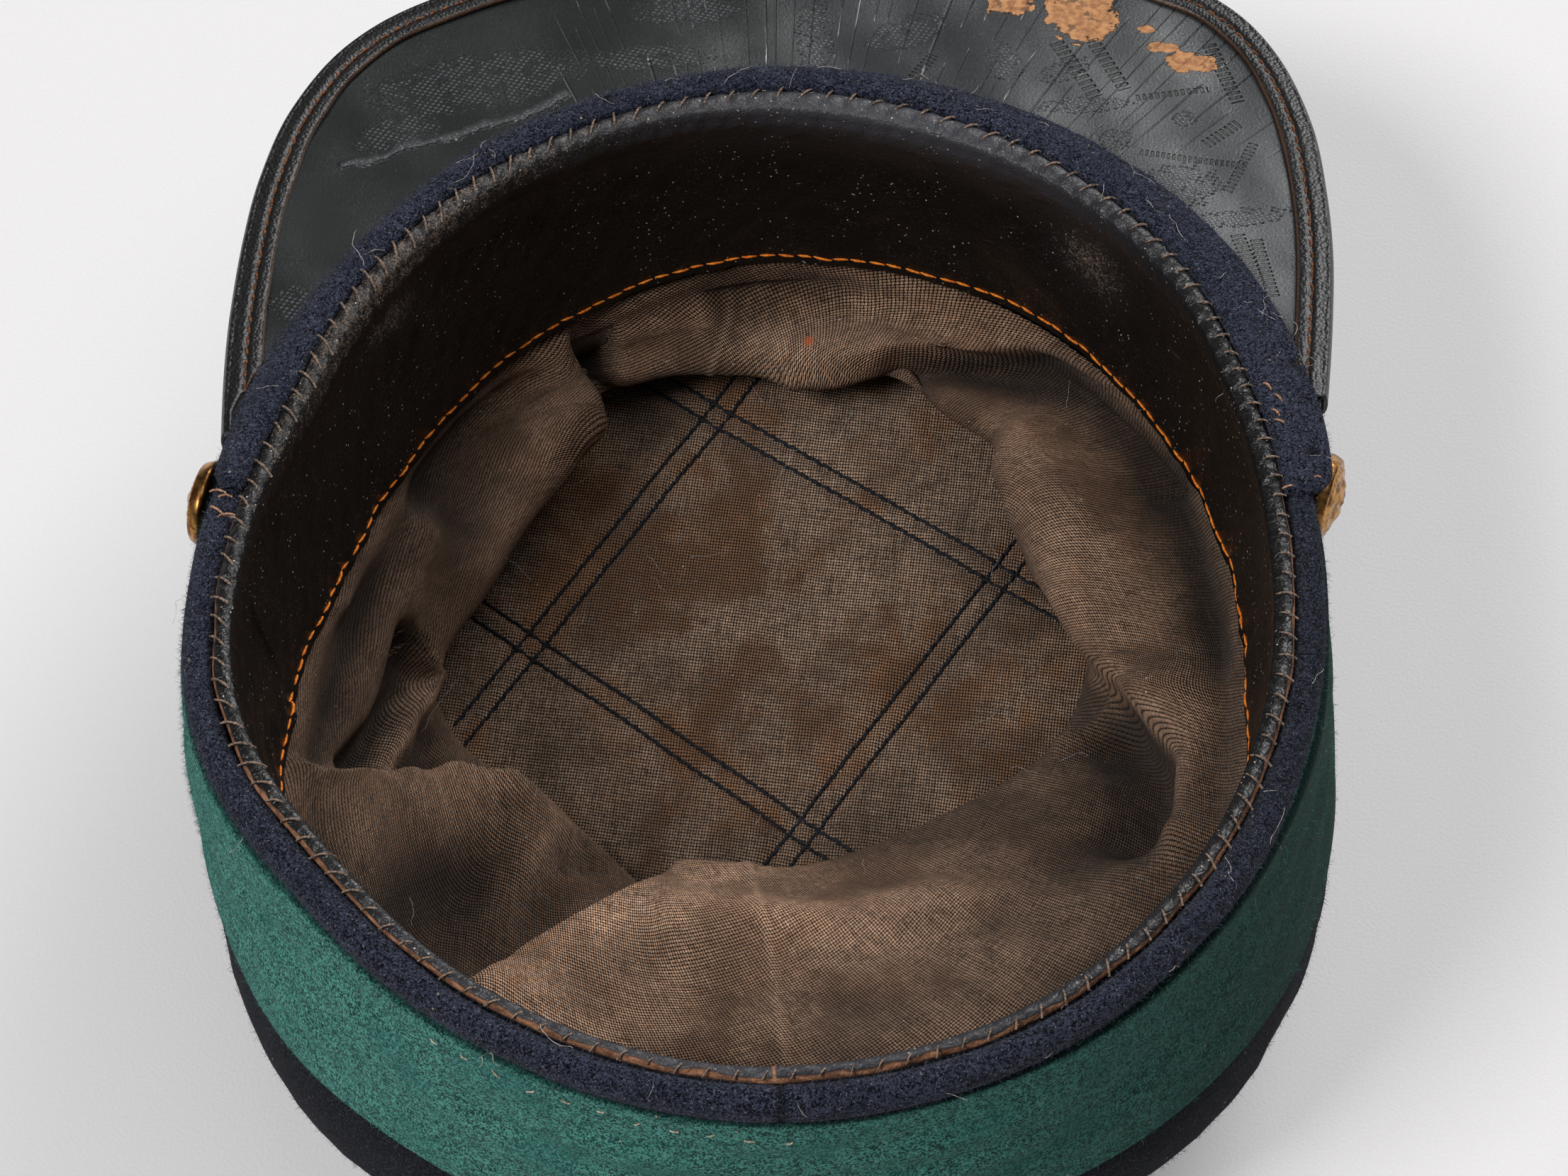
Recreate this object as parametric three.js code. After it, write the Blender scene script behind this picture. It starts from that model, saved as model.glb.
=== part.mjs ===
// A kepi lying upside down on its flat top, as a standalone three.js model.
// Millimetres, +Z up. The origin is the centre of the flat top's outer face, the face
// that the hat rests on. +Y points to the back of the hat, and the peak points to -Y.

import * as THREE from 'three';

// ---------------------------------------------------------------- driving dimensions

const STEPS_ROUND = 60; // facets round every wall
const CROWN_STEPS_DOWN = 8;
const LINING_STEPS_DOWN = 12;
const PEAK_STEPS = 48;
const FACING_STEPS = 44;
const BUTTON_STEPS = 24;
const SEWN_GAP = 0.3; // clearance between pieces that are sewn together

const TIP_RADIUS = 66; // outer seam of the flat top
const TIP_THICKNESS = 2.6; // wool over a stiff board
const TIP_BEVEL = 0.8; // at the edge of its inner face
const TIP_LINING_RADIUS = 59;
const TIP_LINING_THICKNESS = 1.0;

const RIM_CENTRE = new THREE.Vector3(1, 36.5, 90); // centre of the rim's upper edge
const RIM_TILT = THREE.MathUtils.degToRad(10); // the rim stands higher at the back

const BAND_DEPTH = 48; // rim to the lower edge of the colour band
const BASE_DEPTH = 47.8; // rim to the lower edge of the base band under it
const SWEAT_DEPTH = 42.5; // rim to the lower edge of the sweatband
const ROLL_HEIGHT = 5; // rim to the underside of the rolled edge

const SWEAT_THICKNESS = 1.3;
const BASE_THICKNESS = 2.4;
const COLOUR_THICKNESS = 1.6;
const CROWN_THICKNESS = 1.8;
const LINING_THICKNESS = 1.0;
const LINING_DROP = 1.0; // slack between the sweatband's edge and the lining
const ROLL_WIDTH = 5.3; // rolled edge, from the sweatband's face outwards
const COLOUR_TOP = ROLL_HEIGHT + 0.6; // rim to the upper edge of the colour band
const COLOUR_EDGE = 0.5; // bevel of its cut edges

const PEAK_THICKNESS = 2.4;
const PEAK_TOP = -1.0; // upper face of the peak, below the rim
const PEAK_GAP = 0.5; // clearance from the rolled edge that it is sewn to
const BINDING_WIDTH = 5;
const BINDING_THICKNESS = 0.9;
const BINDING_LEAST_WIDTH = 0.8; // where the navy strip nearly covers it
const BINDING_START = 3; // sections of the peak at each end that it leaves bare
const FACING_THICKNESS = 1.4;
const FACING_START = 1.6; // from the sweatband's face to the strip's inner edge
const FACING_ROUND = 0.8; // its edges are rounded over
const FACING_GAP = 0.4; // from the facing's outer edge to the peak's binding

const BUTTON_RADIUS = 7;
const SHANK_RADIUS = 1.5;
const SHANK_GAP = 0.6; // the shank is square to the button, and the band is not

// The walls, a row for every 22.5 degrees of the rim. Angle 0 is +X, 90 the back and
// 270 the front. rim: radius of the sweatband's face at the rim. sweat: the same at the
// sweatband's lower edge. hem: outer radius of the colour band at its lower edge.
// facing: width of the navy strip from the sweatband's face, where the peak is sewn on.
// belly: how far the soft wall below the band swells outwards.
const WALLS = [
  { angle: 0, rim: 81.4, sweat: 74.4, hem: 89.8, facing: 6.0, belly: 3 },
  { angle: 22.5, rim: 85.7, sweat: 78.4, hem: 91.8, facing: 6.0, belly: 5 },
  { angle: 45, rim: 87.4, sweat: 82.0, hem: 94.6, facing: 6.0, belly: 10 },
  { angle: 67.5, rim: 93.6, sweat: 87.4, hem: 96.4, facing: 6.0, belly: 13 },
  { angle: 90, rim: 98.2, sweat: 91.6, hem: 98.0, facing: 6.0, belly: 11 },
  { angle: 112.5, rim: 97.0, sweat: 90.4, hem: 97.6, facing: 6.0, belly: 9 },
  { angle: 135, rim: 91.4, sweat: 87.0, hem: 97.6, facing: 6.0, belly: 8 },
  { angle: 157.5, rim: 85.5, sweat: 82.0, hem: 96.0, facing: 8.0, belly: 4 },
  { angle: 180, rim: 82.5, sweat: 79.4, hem: 93.5, facing: 6.5, belly: 2 },
  { angle: 202.5, rim: 84.9, sweat: 84.0, hem: 94.6, facing: 10.6, belly: 0 },
  { angle: 225, rim: 92.3, sweat: 92.8, hem: 100.7, facing: 10.0, belly: 0 },
  { angle: 247.5, rim: 98.0, sweat: 100.6, hem: 108.6, facing: 8.4, belly: 0 },
  { angle: 270, rim: 99.6, sweat: 100.8, hem: 108.0, facing: 6.6, belly: 0 },
  { angle: 292.5, rim: 93.9, sweat: 91.4, hem: 98.8, facing: 6.4, belly: 0 },
  { angle: 315, rim: 85.6, sweat: 79.6, hem: 91.4, facing: 6.2, belly: 0 },
  { angle: 337.5, rim: 80.0, sweat: 73.4, hem: 86.8, facing: 6.6, belly: 1 },
];

// The main folds of the wall lining, a row for every 22.5 degrees round the flat top.
// crest: how far from the centre the fold's crest lies. height: how high it stands.
// slack: how far the cloth above the crest stands off the straight line to it.
const FOLDS = [
  { angle: 0, crest: 48, height: 18, slack: 3 },
  { angle: 22.5, crest: 58, height: 14, slack: 2 },
  { angle: 45, crest: 54, height: 13, slack: 5 },
  { angle: 67.5, crest: 58, height: 10, slack: 3 },
  { angle: 90, crest: 55, height: 11, slack: 4 },
  { angle: 112.5, crest: 54, height: 12, slack: 5 },
  { angle: 135, crest: 54, height: 14, slack: 2 },
  { angle: 157.5, crest: 57, height: 12, slack: -4 },
  { angle: 180, crest: 54, height: 16, slack: 3 },
  { angle: 202.5, crest: 51, height: 17, slack: 4 },
  { angle: 225, crest: 49, height: 16, slack: 4 },
  { angle: 247.5, crest: 45, height: 14, slack: 3 },
  { angle: 270, crest: 45, height: 13, slack: 3 },
  { angle: 292.5, crest: 45, height: 14, slack: 3 },
  { angle: 315, crest: 46, height: 17, slack: 2 },
  { angle: 337.5, crest: 43, height: 19, slack: 2 },
];

// How far the crown's wall runs on in line with the band, and how far it runs in flat
// over the floor to its seam, as shares of the straight distance between the two.
const CROWN_IN_LINE = 0.36;
const CROWN_TURNED_UNDER = 0.42;
const CROWN_TURN_RISE = 0.08; // slope of the cloth at the seam of the flat top

const LINING_FOOT_REACH = 1.6; // the lining ends outside the edge of the flat lining
const LINING_FOOT_RISE = 0.4;
const FOLD_TURN = 0.45; // where the cloth under the crest turns back, foot to crest
const FOLD_BULGE = 1; // how far it bulges there

// The peak's outer edge, from its left end round the front to its right end, in the
// rim's plane. across: to the left of the rim's centre. ahead: in front of it.
const PEAK_OUTLINE = [
  { across: 83.3, ahead: 26.0 },
  { across: 83.8, ahead: 38.0 },
  { across: 83.8, ahead: 50.0 },
  { across: 83.0, ahead: 66.0 },
  { across: 81.3, ahead: 80.5 },
  { across: 77.2, ahead: 96.5 },
  { across: 68.6, ahead: 112.0 },
  { across: 54.4, ahead: 123.3 },
  { across: 28.0, ahead: 134.5 },
  { across: -8.0, ahead: 141.0 },
  { across: -46.0, ahead: 137.5 },
  { across: -69.5, ahead: 128.4 },
  { across: -80.8, ahead: 120.4 },
  { across: -88.0, ahead: 108.5 },
  { across: -92.2, ahead: 93.0 },
  { across: -93.4, ahead: 78.0 },
  { across: -93.4, ahead: 64.0 },
  { across: -92.3, ahead: 50.0 },
  { across: -90.7, ahead: 36.0 },
  { across: -89.0, ahead: 24.0 },
];

// The rolled edge in section. out: from the sweatband's face at the rim. depth: below
// the rim.
const ROLL_SECTION = [
  { out: 2.1, depth: 0.7 },
  { out: 3.2, depth: 0 },
  { out: 4.5, depth: 0.4 },
  { out: 5.3, depth: 1.6 },
  { out: 5.3, depth: 4.2 },
  { out: 4.6, depth: 5 },
];
const ROLL_INSIDE = 2.2; // depth where the band's inner face meets the rolled edge

// The sweatband's turned upper edge in section. out: from its face.
const SWEAT_EDGE = [
  { out: 1.3, depth: 0.6 },
  { out: 0.5, depth: 0.4 },
  { out: 0, depth: 1.2 },
];

// The peak is sewn on from just ahead of one button, round the front, to the other.
const PEAK_LEFT_END = THREE.MathUtils.degToRad(342);
const PEAK_RIGHT_END = THREE.MathUtils.degToRad(193);
const FACING_LEFT_END = THREE.MathUtils.degToRad(352);
const FACING_RIGHT_END = THREE.MathUtils.degToRad(188);

// shank: how far the button stands off the band. turn: degrees towards the back.
const BUTTONS = [
  { name: 'button_left', angle: 349.6, depth: 8.6, shank: 0.3, turn: -7 },
  { name: 'button_right', angle: 190.2, depth: 7.6, shank: 2.3, turn: 10 },
];

// A domed button with a rolled rim, in section. out: share of its radius. up: height
// over its back face.
const BUTTON_SECTION = [
  { out: 0.8, up: 0.1 },
  { out: 0.96, up: 0.3 },
  { out: 1, up: 0.8 },
  { out: 0.96, up: 1.3 },
  { out: 0.86, up: 1.6 },
  { out: 0.8, up: 1.5 },
  { out: 0.6, up: 2.2 },
  { out: 0.32, up: 2.8 },
  { out: 0, up: 3 },
];

const WOOL = { color: 0x242a38, roughness: 0.95, metalness: 0 };
const GREEN_WOOL = { color: 0x2a5a4f, roughness: 0.95, metalness: 0 };
const BLACK_LEATHER = { color: 0x15120f, roughness: 0.4, metalness: 0 };
const PEAK_LEATHER = { color: 0x26292b, roughness: 0.45, metalness: 0 };
const COTTON = { color: 0x5a4535, roughness: 0.9, metalness: 0 };
const BRASS = { color: 0xa87638, roughness: 0.35, metalness: 1 };

// ------------------------------------------------------------------------- geometry

// Value of a table's column at an angle, on a smooth curve through the rows.
function column(table, name, angle) {
  const turn = 2 * Math.PI;
  const place = ((((angle % turn) + turn) % turn) / turn) * table.length;
  const row = Math.floor(place);
  const t = place - row;
  const at = (offset) => table[(row + offset + table.length) % table.length][name];
  const [a, b, c, d] = [at(-1), at(0), at(1), at(2)];
  const slopeB = (c - a) / 2;
  const slopeC = (d - b) / 2;
  return (2 * t ** 3 - 3 * t ** 2 + 1) * b + (t ** 3 - 2 * t ** 2 + t) * slopeB
    + (3 * t ** 2 - 2 * t ** 3) * c + (t ** 3 - t ** 2) * slopeC;
}

// Outer radius of the colour band, in the rim's frame.
function bandRadius(angle, depth) {
  const top = column(WALLS, 'rim', angle) + SWEAT_THICKNESS + SEWN_GAP
    + BASE_THICKNESS + SEWN_GAP + COLOUR_THICKNESS;
  return THREE.MathUtils.lerp(top, column(WALLS, 'hem', angle), depth / BAND_DEPTH);
}

function baseRadius(angle, depth) {
  return bandRadius(angle, depth) - COLOUR_THICKNESS - SEWN_GAP;
}

// Inner face of the sweatband, in the rim's frame.
function sweatRadius(angle, depth) {
  const rim = column(WALLS, 'rim', angle);
  return THREE.MathUtils.lerp(rim, column(WALLS, 'sweat', angle), depth / SWEAT_DEPTH);
}

// A point of the rim's frame: polar in the plane of the rim, depth into the hat.
function rimPoint(angle, radius, depth) {
  return new THREE.Vector3(radius * Math.cos(angle), radius * Math.sin(angle), -depth);
}

function toHat(point) {
  return point.applyAxisAngle(new THREE.Vector3(1, 0, 0), RIM_TILT).add(RIM_CENTRE);
}

// A closed body from a grid of points. rows[i][j] is point j of section i. Sections
// close on themselves; the sweep closes too, or ends in a flat cap at each end.
function sweptBody(rows, closedSweep) {
  const count = rows.length;
  const around = rows[0].length;
  const positions = rows.flat().flatMap((p) => [p.x, p.y, p.z]);
  const index = [];
  const last = closedSweep ? count : count - 1;
  for (let i = 0; i < last; i += 1) {
    for (let j = 0; j < around; j += 1) {
      const a = i * around + j;
      const b = i * around + ((j + 1) % around);
      const c = ((i + 1) % count) * around + ((j + 1) % around);
      const d = ((i + 1) % count) * around + j;
      index.push(a, b, c, a, c, d);
    }
  }
  if (!closedSweep) {
    index.push(...capFaces(rows[0], 0, false));
    index.push(...capFaces(rows[count - 1], (count - 1) * around, true));
  }
  return outwardBody(positions, index);
}

// Triangles over the flat end of a sweep, found in the section's own plane.
function capFaces(section, offset, flip) {
  const normal = new THREE.Vector3();
  section.forEach((p, j) => {
    normal.add(p.clone().cross(section[(j + 1) % section.length]));
  });
  normal.normalize();
  const first = section[1].clone().sub(section[0]).normalize();
  const second = normal.clone().cross(first);
  const flat = section.map((p) => new THREE.Vector2(p.dot(first), p.dot(second)));
  const faces = THREE.ShapeUtils.triangulateShape(flat, []);
  return faces.flatMap(([a, b, c]) => {
    const face = flip ? [a, b, c] : [a, c, b];
    return face.map((corner) => corner + offset);
  });
}

// Geometry of a closed body, with its faces turned outwards.
function outwardBody(positions, index) {
  let volume = 0;
  const corner = (k) => new THREE.Vector3().fromArray(positions, 3 * index[k]);
  for (let k = 0; k < index.length; k += 3) {
    volume += corner(k).dot(corner(k + 1).cross(corner(k + 2)));
  }
  if (volume < 0) {
    for (let k = 0; k < index.length; k += 3) {
      [index[k + 1], index[k + 2]] = [index[k + 2], index[k + 1]];
    }
  }
  const geometry = new THREE.BufferGeometry();
  geometry.setAttribute('position', new THREE.Float32BufferAttribute(positions, 3));
  geometry.setIndex(index);
  geometry.computeVertexNormals();
  return geometry;
}

// A wall all the way round: section(angle) gives its outline as [radius, depth] pairs.
function ringWall(section) {
  const rows = [];
  for (let i = 0; i < STEPS_ROUND; i += 1) {
    const angle = (i / STEPS_ROUND) * 2 * Math.PI;
    rows.push(section(angle).map(([radius, depth]) => rimPoint(angle, radius, depth)));
  }
  return sweptBody(rows, true);
}

// A cloth shell all the way round: sheet(angle, t) is its outer face, t from 0 to 1,
// and the inner face lies a thickness further in, square to it.
function clothShell(sheet, thickness, stepsDown) {
  const nudge = 1e-3;
  const rows = [];
  for (let i = 0; i < STEPS_ROUND; i += 1) {
    const angle = (i / STEPS_ROUND) * 2 * Math.PI;
    const outer = [];
    const inner = [];
    for (let j = 0; j <= stepsDown; j += 1) {
      const t = j / stepsDown;
      const point = sheet(angle, t);
      const low = Math.max(t - nudge, 0);
      const high = Math.min(t + nudge, 1);
      const down = sheet(angle, high).sub(sheet(angle, low));
      const round = sheet(angle + nudge, t).sub(sheet(angle - nudge, t));
      const inwards = round.cross(down).normalize().multiplyScalar(thickness);
      outer.push(point);
      inner.push(point.clone().add(inwards));
    }
    rows.push([...outer, ...inner.reverse()]);
  }
  return sweptBody(rows, true);
}

// ----------------------------------------------------------------------- the pieces

function crownTip() {
  const edge = TIP_RADIUS - SEWN_GAP;
  const profile = [
    new THREE.Vector2(0, 0),
    new THREE.Vector2(edge, 0),
    new THREE.Vector2(edge, TIP_THICKNESS - TIP_BEVEL),
    new THREE.Vector2(edge - TIP_BEVEL, TIP_THICKNESS),
    new THREE.Vector2(0, TIP_THICKNESS),
  ];
  return lathe(profile);
}

function tipLining() {
  const low = TIP_THICKNESS + SEWN_GAP;
  const high = low + TIP_LINING_THICKNESS;
  const profile = [
    new THREE.Vector2(0, low),
    new THREE.Vector2(TIP_LINING_RADIUS, low),
    new THREE.Vector2(TIP_LINING_RADIUS, high),
    new THREE.Vector2(0, high),
  ];
  return lathe(profile);
}

// A body turned about the hat's upright axis, from an (outwards, up) profile that
// starts and ends on the axis.
function lathe(profile) {
  const geometry = new THREE.LatheGeometry(profile, STEPS_ROUND);
  return geometry.rotateX(Math.PI / 2);
}

// The crown's soft wall: it leaves the band in line with it, sags outwards and turns
// under to the seam of the flat top.
function crownSheet(angle, t) {
  const start = BASE_DEPTH + SEWN_GAP;
  const top = toHat(rimPoint(angle, baseRadius(angle, start), start));
  const above = toHat(rimPoint(angle, baseRadius(angle, start - 1), start - 1));
  const seam = new THREE.Vector3(Math.cos(angle), Math.sin(angle), 0)
    .multiplyScalar(TIP_RADIUS);
  const length = top.distanceTo(seam);
  const down = top.clone().sub(above).setLength(CROWN_IN_LINE * length);
  down.x += column(WALLS, 'belly', angle) * Math.cos(angle);
  down.y += column(WALLS, 'belly', angle) * Math.sin(angle);
  const outwards = new THREE.Vector3(Math.cos(angle), Math.sin(angle), CROWN_TURN_RISE)
    .setLength(CROWN_TURNED_UNDER * length);
  const curve = new THREE.CubicBezierCurve3(
    top,
    top.clone().add(down),
    seam.clone().add(outwards),
    seam,
  );
  return curve.getPoint(t);
}

// The wall's loose lining: from the sweatband's lower edge it hangs off the wall, folds
// inwards over the flat lining and turns back under to its edge.
function liningSheet(angle, t) {
  const start = SWEAT_DEPTH + SEWN_GAP + LINING_DROP;
  const radius = column(WALLS, 'sweat', angle) + SWEAT_THICKNESS;
  const top = toHat(rimPoint(angle, radius, start));
  const outwards = new THREE.Vector3(Math.cos(angle), Math.sin(angle), 0);
  const crest = outwards.clone().multiplyScalar(column(FOLDS, 'crest', angle));
  crest.z = column(FOLDS, 'height', angle);
  const foot = outwards.clone().multiplyScalar(TIP_LINING_RADIUS + LINING_FOOT_REACH);
  foot.z = TIP_THICKNESS + SEWN_GAP + LINING_THICKNESS + LINING_FOOT_RISE;
  const slope = crest.clone().sub(top);
  const square = new THREE.Vector3(-slope.z * outwards.x, -slope.z * outwards.y,
    slope.x * outwards.x + slope.y * outwards.y).normalize();
  const middle = top.clone().add(crest).multiplyScalar(0.5)
    .addScaledVector(square, column(FOLDS, 'slack', angle));
  const turn = foot.clone().lerp(crest, FOLD_TURN).addScaledVector(outwards, FOLD_BULGE);
  const curve = new THREE.CatmullRomCurve3([top, middle, crest, turn, foot]);
  return curve.getPoint(t);
}

function baseBand() {
  return ringWall((angle) => {
    const rim = column(WALLS, 'rim', angle);
    const inside = (depth) => baseRadius(angle, depth) - BASE_THICKNESS;
    return [
      [inside(BASE_DEPTH), BASE_DEPTH],
      [inside(ROLL_INSIDE), ROLL_INSIDE],
      ...ROLL_SECTION.map(({ out, depth }) => [rim + out, depth]),
      [baseRadius(angle, COLOUR_TOP), COLOUR_TOP],
      [baseRadius(angle, BASE_DEPTH), BASE_DEPTH],
    ];
  });
}

function colourBand() {
  return ringWall((angle) => {
    const outside = (depth) => bandRadius(angle, depth);
    return [
      [outside(COLOUR_TOP) - COLOUR_THICKNESS, COLOUR_TOP],
      [outside(BAND_DEPTH) - COLOUR_THICKNESS, BAND_DEPTH],
      [outside(BAND_DEPTH) - COLOUR_EDGE, BAND_DEPTH],
      [outside(BAND_DEPTH - COLOUR_EDGE), BAND_DEPTH - COLOUR_EDGE],
      [outside(COLOUR_TOP + COLOUR_EDGE), COLOUR_TOP + COLOUR_EDGE],
      [outside(COLOUR_TOP) - COLOUR_EDGE, COLOUR_TOP],
    ];
  });
}

function sweatband() {
  return ringWall((angle) => {
    const face = (depth) => sweatRadius(angle, depth);
    return [
      [face(SWEAT_DEPTH) + SWEAT_THICKNESS, SWEAT_DEPTH],
      ...SWEAT_EDGE.map(({ out, depth }) => [face(depth) + out, depth]),
      [face(SWEAT_DEPTH), SWEAT_DEPTH],
    ];
  });
}

// The peak in sections, from its seam at the rim to its outer edge.
function peakSections() {
  const corners = PEAK_OUTLINE.map(({ across, ahead }) => new THREE.Vector2(across, -ahead));
  const outline = new THREE.SplineCurve(corners);
  const sections = [];
  for (let i = 0; i <= PEAK_STEPS; i += 1) {
    const share = i / PEAK_STEPS;
    const angle = THREE.MathUtils.lerp(PEAK_LEFT_END, PEAK_RIGHT_END, share);
    const base = rimPoint(angle, column(WALLS, 'rim', angle) + ROLL_WIDTH + PEAK_GAP, 0);
    sections.push({
      angle,
      inner: new THREE.Vector2(base.x, base.y),
      outer: outline.getPointAt(share),
    });
  }
  return sections;
}

function peakPlate() {
  const rows = peakSections().map(({ inner, outer }) => [
    new THREE.Vector3(inner.x, inner.y, PEAK_TOP),
    new THREE.Vector3(outer.x, outer.y, PEAK_TOP),
    new THREE.Vector3(outer.x, outer.y, PEAK_TOP - PEAK_THICKNESS),
    new THREE.Vector3(inner.x, inner.y, PEAK_TOP - PEAK_THICKNESS),
  ]);
  return sweptBody(rows, false);
}

function peakBinding() {
  const sections = peakSections().slice(BINDING_START, -BINDING_START);
  const rows = sections.map(({ angle, inner, outer }, i) => {
    const before = sections[Math.max(i - 1, 0)].outer;
    const after = sections[Math.min(i + 1, sections.length - 1)].outer;
    const along = after.clone().sub(before).normalize();
    const outwards = new THREE.Vector2(along.y, -along.x);
    if (outwards.dot(outer.clone().sub(inner)) < 0) outwards.negate();
    const covered = column(WALLS, 'facing', angle) - ROLL_WIDTH + FACING_GAP;
    const room = outer.distanceTo(inner) - covered;
    const leg = THREE.MathUtils.clamp(room, BINDING_LEAST_WIDTH, BINDING_WIDTH);
    const near = SEWN_GAP;
    const far = SEWN_GAP + BINDING_THICKNESS;
    const low = PEAK_TOP - PEAK_THICKNESS;
    const round = PEAK_THICKNESS / 3;
    const corner = (out, z) => {
      const p = outer.clone().addScaledVector(outwards, out);
      return new THREE.Vector3(p.x, p.y, z);
    };
    return [
      corner(-leg, PEAK_TOP + near),
      corner(-leg, PEAK_TOP + far),
      corner(far / 2, PEAK_TOP + far),
      corner(far, PEAK_TOP - round),
      corner(far, low + round),
      corner(far / 2, low - far),
      corner(-leg, low - far),
      corner(-leg, low - near),
      corner(near, low - near),
      corner(near, PEAK_TOP + near),
    ];
  });
  return sweptBody(rows, false);
}

// The navy strip lies over the rolled edge and laps onto the peak.
function peakFacing() {
  const onRoll = -SEWN_GAP;
  const onPeak = -PEAK_TOP - SEWN_GAP;
  const rows = [];
  for (let i = 0; i <= FACING_STEPS; i += 1) {
    const angle = THREE.MathUtils.lerp(FACING_LEFT_END, FACING_RIGHT_END, i / FACING_STEPS);
    const rim = column(WALLS, 'rim', angle);
    const edge = rim + column(WALLS, 'facing', angle);
    const section = [
      [rim + FACING_START, onRoll],
      [rim + FACING_START + FACING_ROUND / 2, onRoll - FACING_THICKNESS + FACING_ROUND / 2],
      [rim + FACING_START + 2 * FACING_ROUND, onRoll - FACING_THICKNESS],
      [edge - FACING_ROUND, onPeak - FACING_THICKNESS],
      [edge, onPeak - FACING_THICKNESS + FACING_ROUND],
      [edge, onPeak],
      [rim + ROLL_WIDTH + SEWN_GAP, onPeak],
      [rim + ROLL_WIDTH - FACING_ROUND, onRoll],
    ];
    rows.push(section.map(([radius, depth]) => rimPoint(angle, radius, depth)));
  }
  return sweptBody(rows, false);
}

// A button and the shank that it is sewn on by, whose seat is at the bottom.
function button(shank) {
  const profile = [
    new THREE.Vector2(0, 0),
    new THREE.Vector2(SHANK_RADIUS, 0),
    new THREE.Vector2(SHANK_RADIUS, shank),
    ...BUTTON_SECTION.map(({ out, up }) => new THREE.Vector2(out * BUTTON_RADIUS, shank + up)),
  ];
  return new THREE.LatheGeometry(profile, BUTTON_STEPS);
}

// ---------------------------------------------------------------------- the assembly

function piece(name, geometry, finish) {
  const mesh = new THREE.Mesh(geometry, new THREE.MeshStandardMaterial(finish));
  mesh.name = name;
  return mesh;
}

// A button faces straight out of the band, turned a little towards the back.
function placedButton({ name, angle, depth, shank, turn }) {
  const mesh = piece(name, button(shank), BRASS);
  const around = THREE.MathUtils.degToRad(angle);
  const radius = bandRadius(around, depth) + SHANK_GAP;
  mesh.position.copy(rimPoint(around, radius, depth));
  const sideways = Math.sign(Math.cos(around));
  const facing = new THREE.Vector3(sideways, Math.tan(THREE.MathUtils.degToRad(turn)), 0);
  mesh.quaternion.setFromUnitVectors(new THREE.Vector3(0, 1, 0), facing.normalize());
  return mesh;
}

const rim = new THREE.Group();
rim.position.copy(RIM_CENTRE);
rim.rotation.x = RIM_TILT;
rim.add(
  piece('base_band', baseBand(), WOOL),
  piece('colour_band', colourBand(), GREEN_WOOL),
  piece('sweatband', sweatband(), BLACK_LEATHER),
  piece('peak', peakPlate(), PEAK_LEATHER),
  piece('peak_binding', peakBinding(), BLACK_LEATHER),
  piece('peak_facing', peakFacing(), WOOL),
  ...BUTTONS.map(placedButton),
);

const kepi = new THREE.Group();
kepi.add(
  piece('crown_tip', crownTip(), WOOL),
  piece('crown_side', clothShell(crownSheet, CROWN_THICKNESS, CROWN_STEPS_DOWN), WOOL),
  piece('tip_lining', tipLining(), COTTON),
  piece('lining_side', clothShell(liningSheet, LINING_THICKNESS, LINING_STEPS_DOWN), COTTON),
  rim,
);

export default kepi;
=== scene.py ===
"""The looks of a kepi that lies upside down on its flat top.

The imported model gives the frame. Every cloth and leather piece is built again here
from the same sizes, with fine folds, and then gets its finish, thread and fluff.
"""
import math

import bpy
import numpy as np
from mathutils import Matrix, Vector


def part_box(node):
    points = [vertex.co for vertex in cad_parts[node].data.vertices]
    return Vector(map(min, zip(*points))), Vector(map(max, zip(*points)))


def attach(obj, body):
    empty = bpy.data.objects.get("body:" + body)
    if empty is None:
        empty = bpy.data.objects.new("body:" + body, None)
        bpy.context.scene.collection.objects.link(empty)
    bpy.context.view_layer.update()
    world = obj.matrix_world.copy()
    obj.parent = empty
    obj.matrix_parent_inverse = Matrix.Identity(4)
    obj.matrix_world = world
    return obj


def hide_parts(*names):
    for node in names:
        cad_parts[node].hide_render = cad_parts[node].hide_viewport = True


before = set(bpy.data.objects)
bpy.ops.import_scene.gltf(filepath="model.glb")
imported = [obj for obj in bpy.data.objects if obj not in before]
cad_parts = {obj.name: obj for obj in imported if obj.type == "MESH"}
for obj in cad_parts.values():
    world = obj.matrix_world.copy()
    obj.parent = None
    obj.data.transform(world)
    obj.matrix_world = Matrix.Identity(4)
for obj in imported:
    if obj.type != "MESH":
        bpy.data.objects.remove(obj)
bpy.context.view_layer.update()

MM = 0.001
PER_METRE = (1000, 1000, 1000)
TURN = 2 * math.pi
UP = np.array((0, 0, 1.0))

# ------------------------------------------------------------------ sizes, in millimetres

SEWN_GAP = 0.3
TIP_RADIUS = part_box("crown_tip")[1].x / MM + SEWN_GAP
TIP_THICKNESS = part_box("crown_tip")[1].z / MM
TIP_LINING_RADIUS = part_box("tip_lining")[1].x / MM
TIP_LINING_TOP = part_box("tip_lining")[1].z / MM
TIP_LINING_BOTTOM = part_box("tip_lining")[0].z / MM
RIM_CENTRE = np.array((1.0, 36.5, 90.0))
RIM_TILT = math.radians(10)
BAND_DEPTH = 48.0
BASE_DEPTH = 47.8
SWEAT_DEPTH = 42.5
ROLL_WIDTH = 5.3
COLOUR_TOP = 5.6
SWEAT_THICKNESS = 1.3
BASE_THICKNESS = 2.4
ROLL_IN = 3.0
ROLL_DOWN = 2.6
COLOUR_THICKNESS = 1.6
CROWN_THICKNESS = 1.8
LINING_THICKNESS = 0.8
LINING_DROP = 1.0
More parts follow.
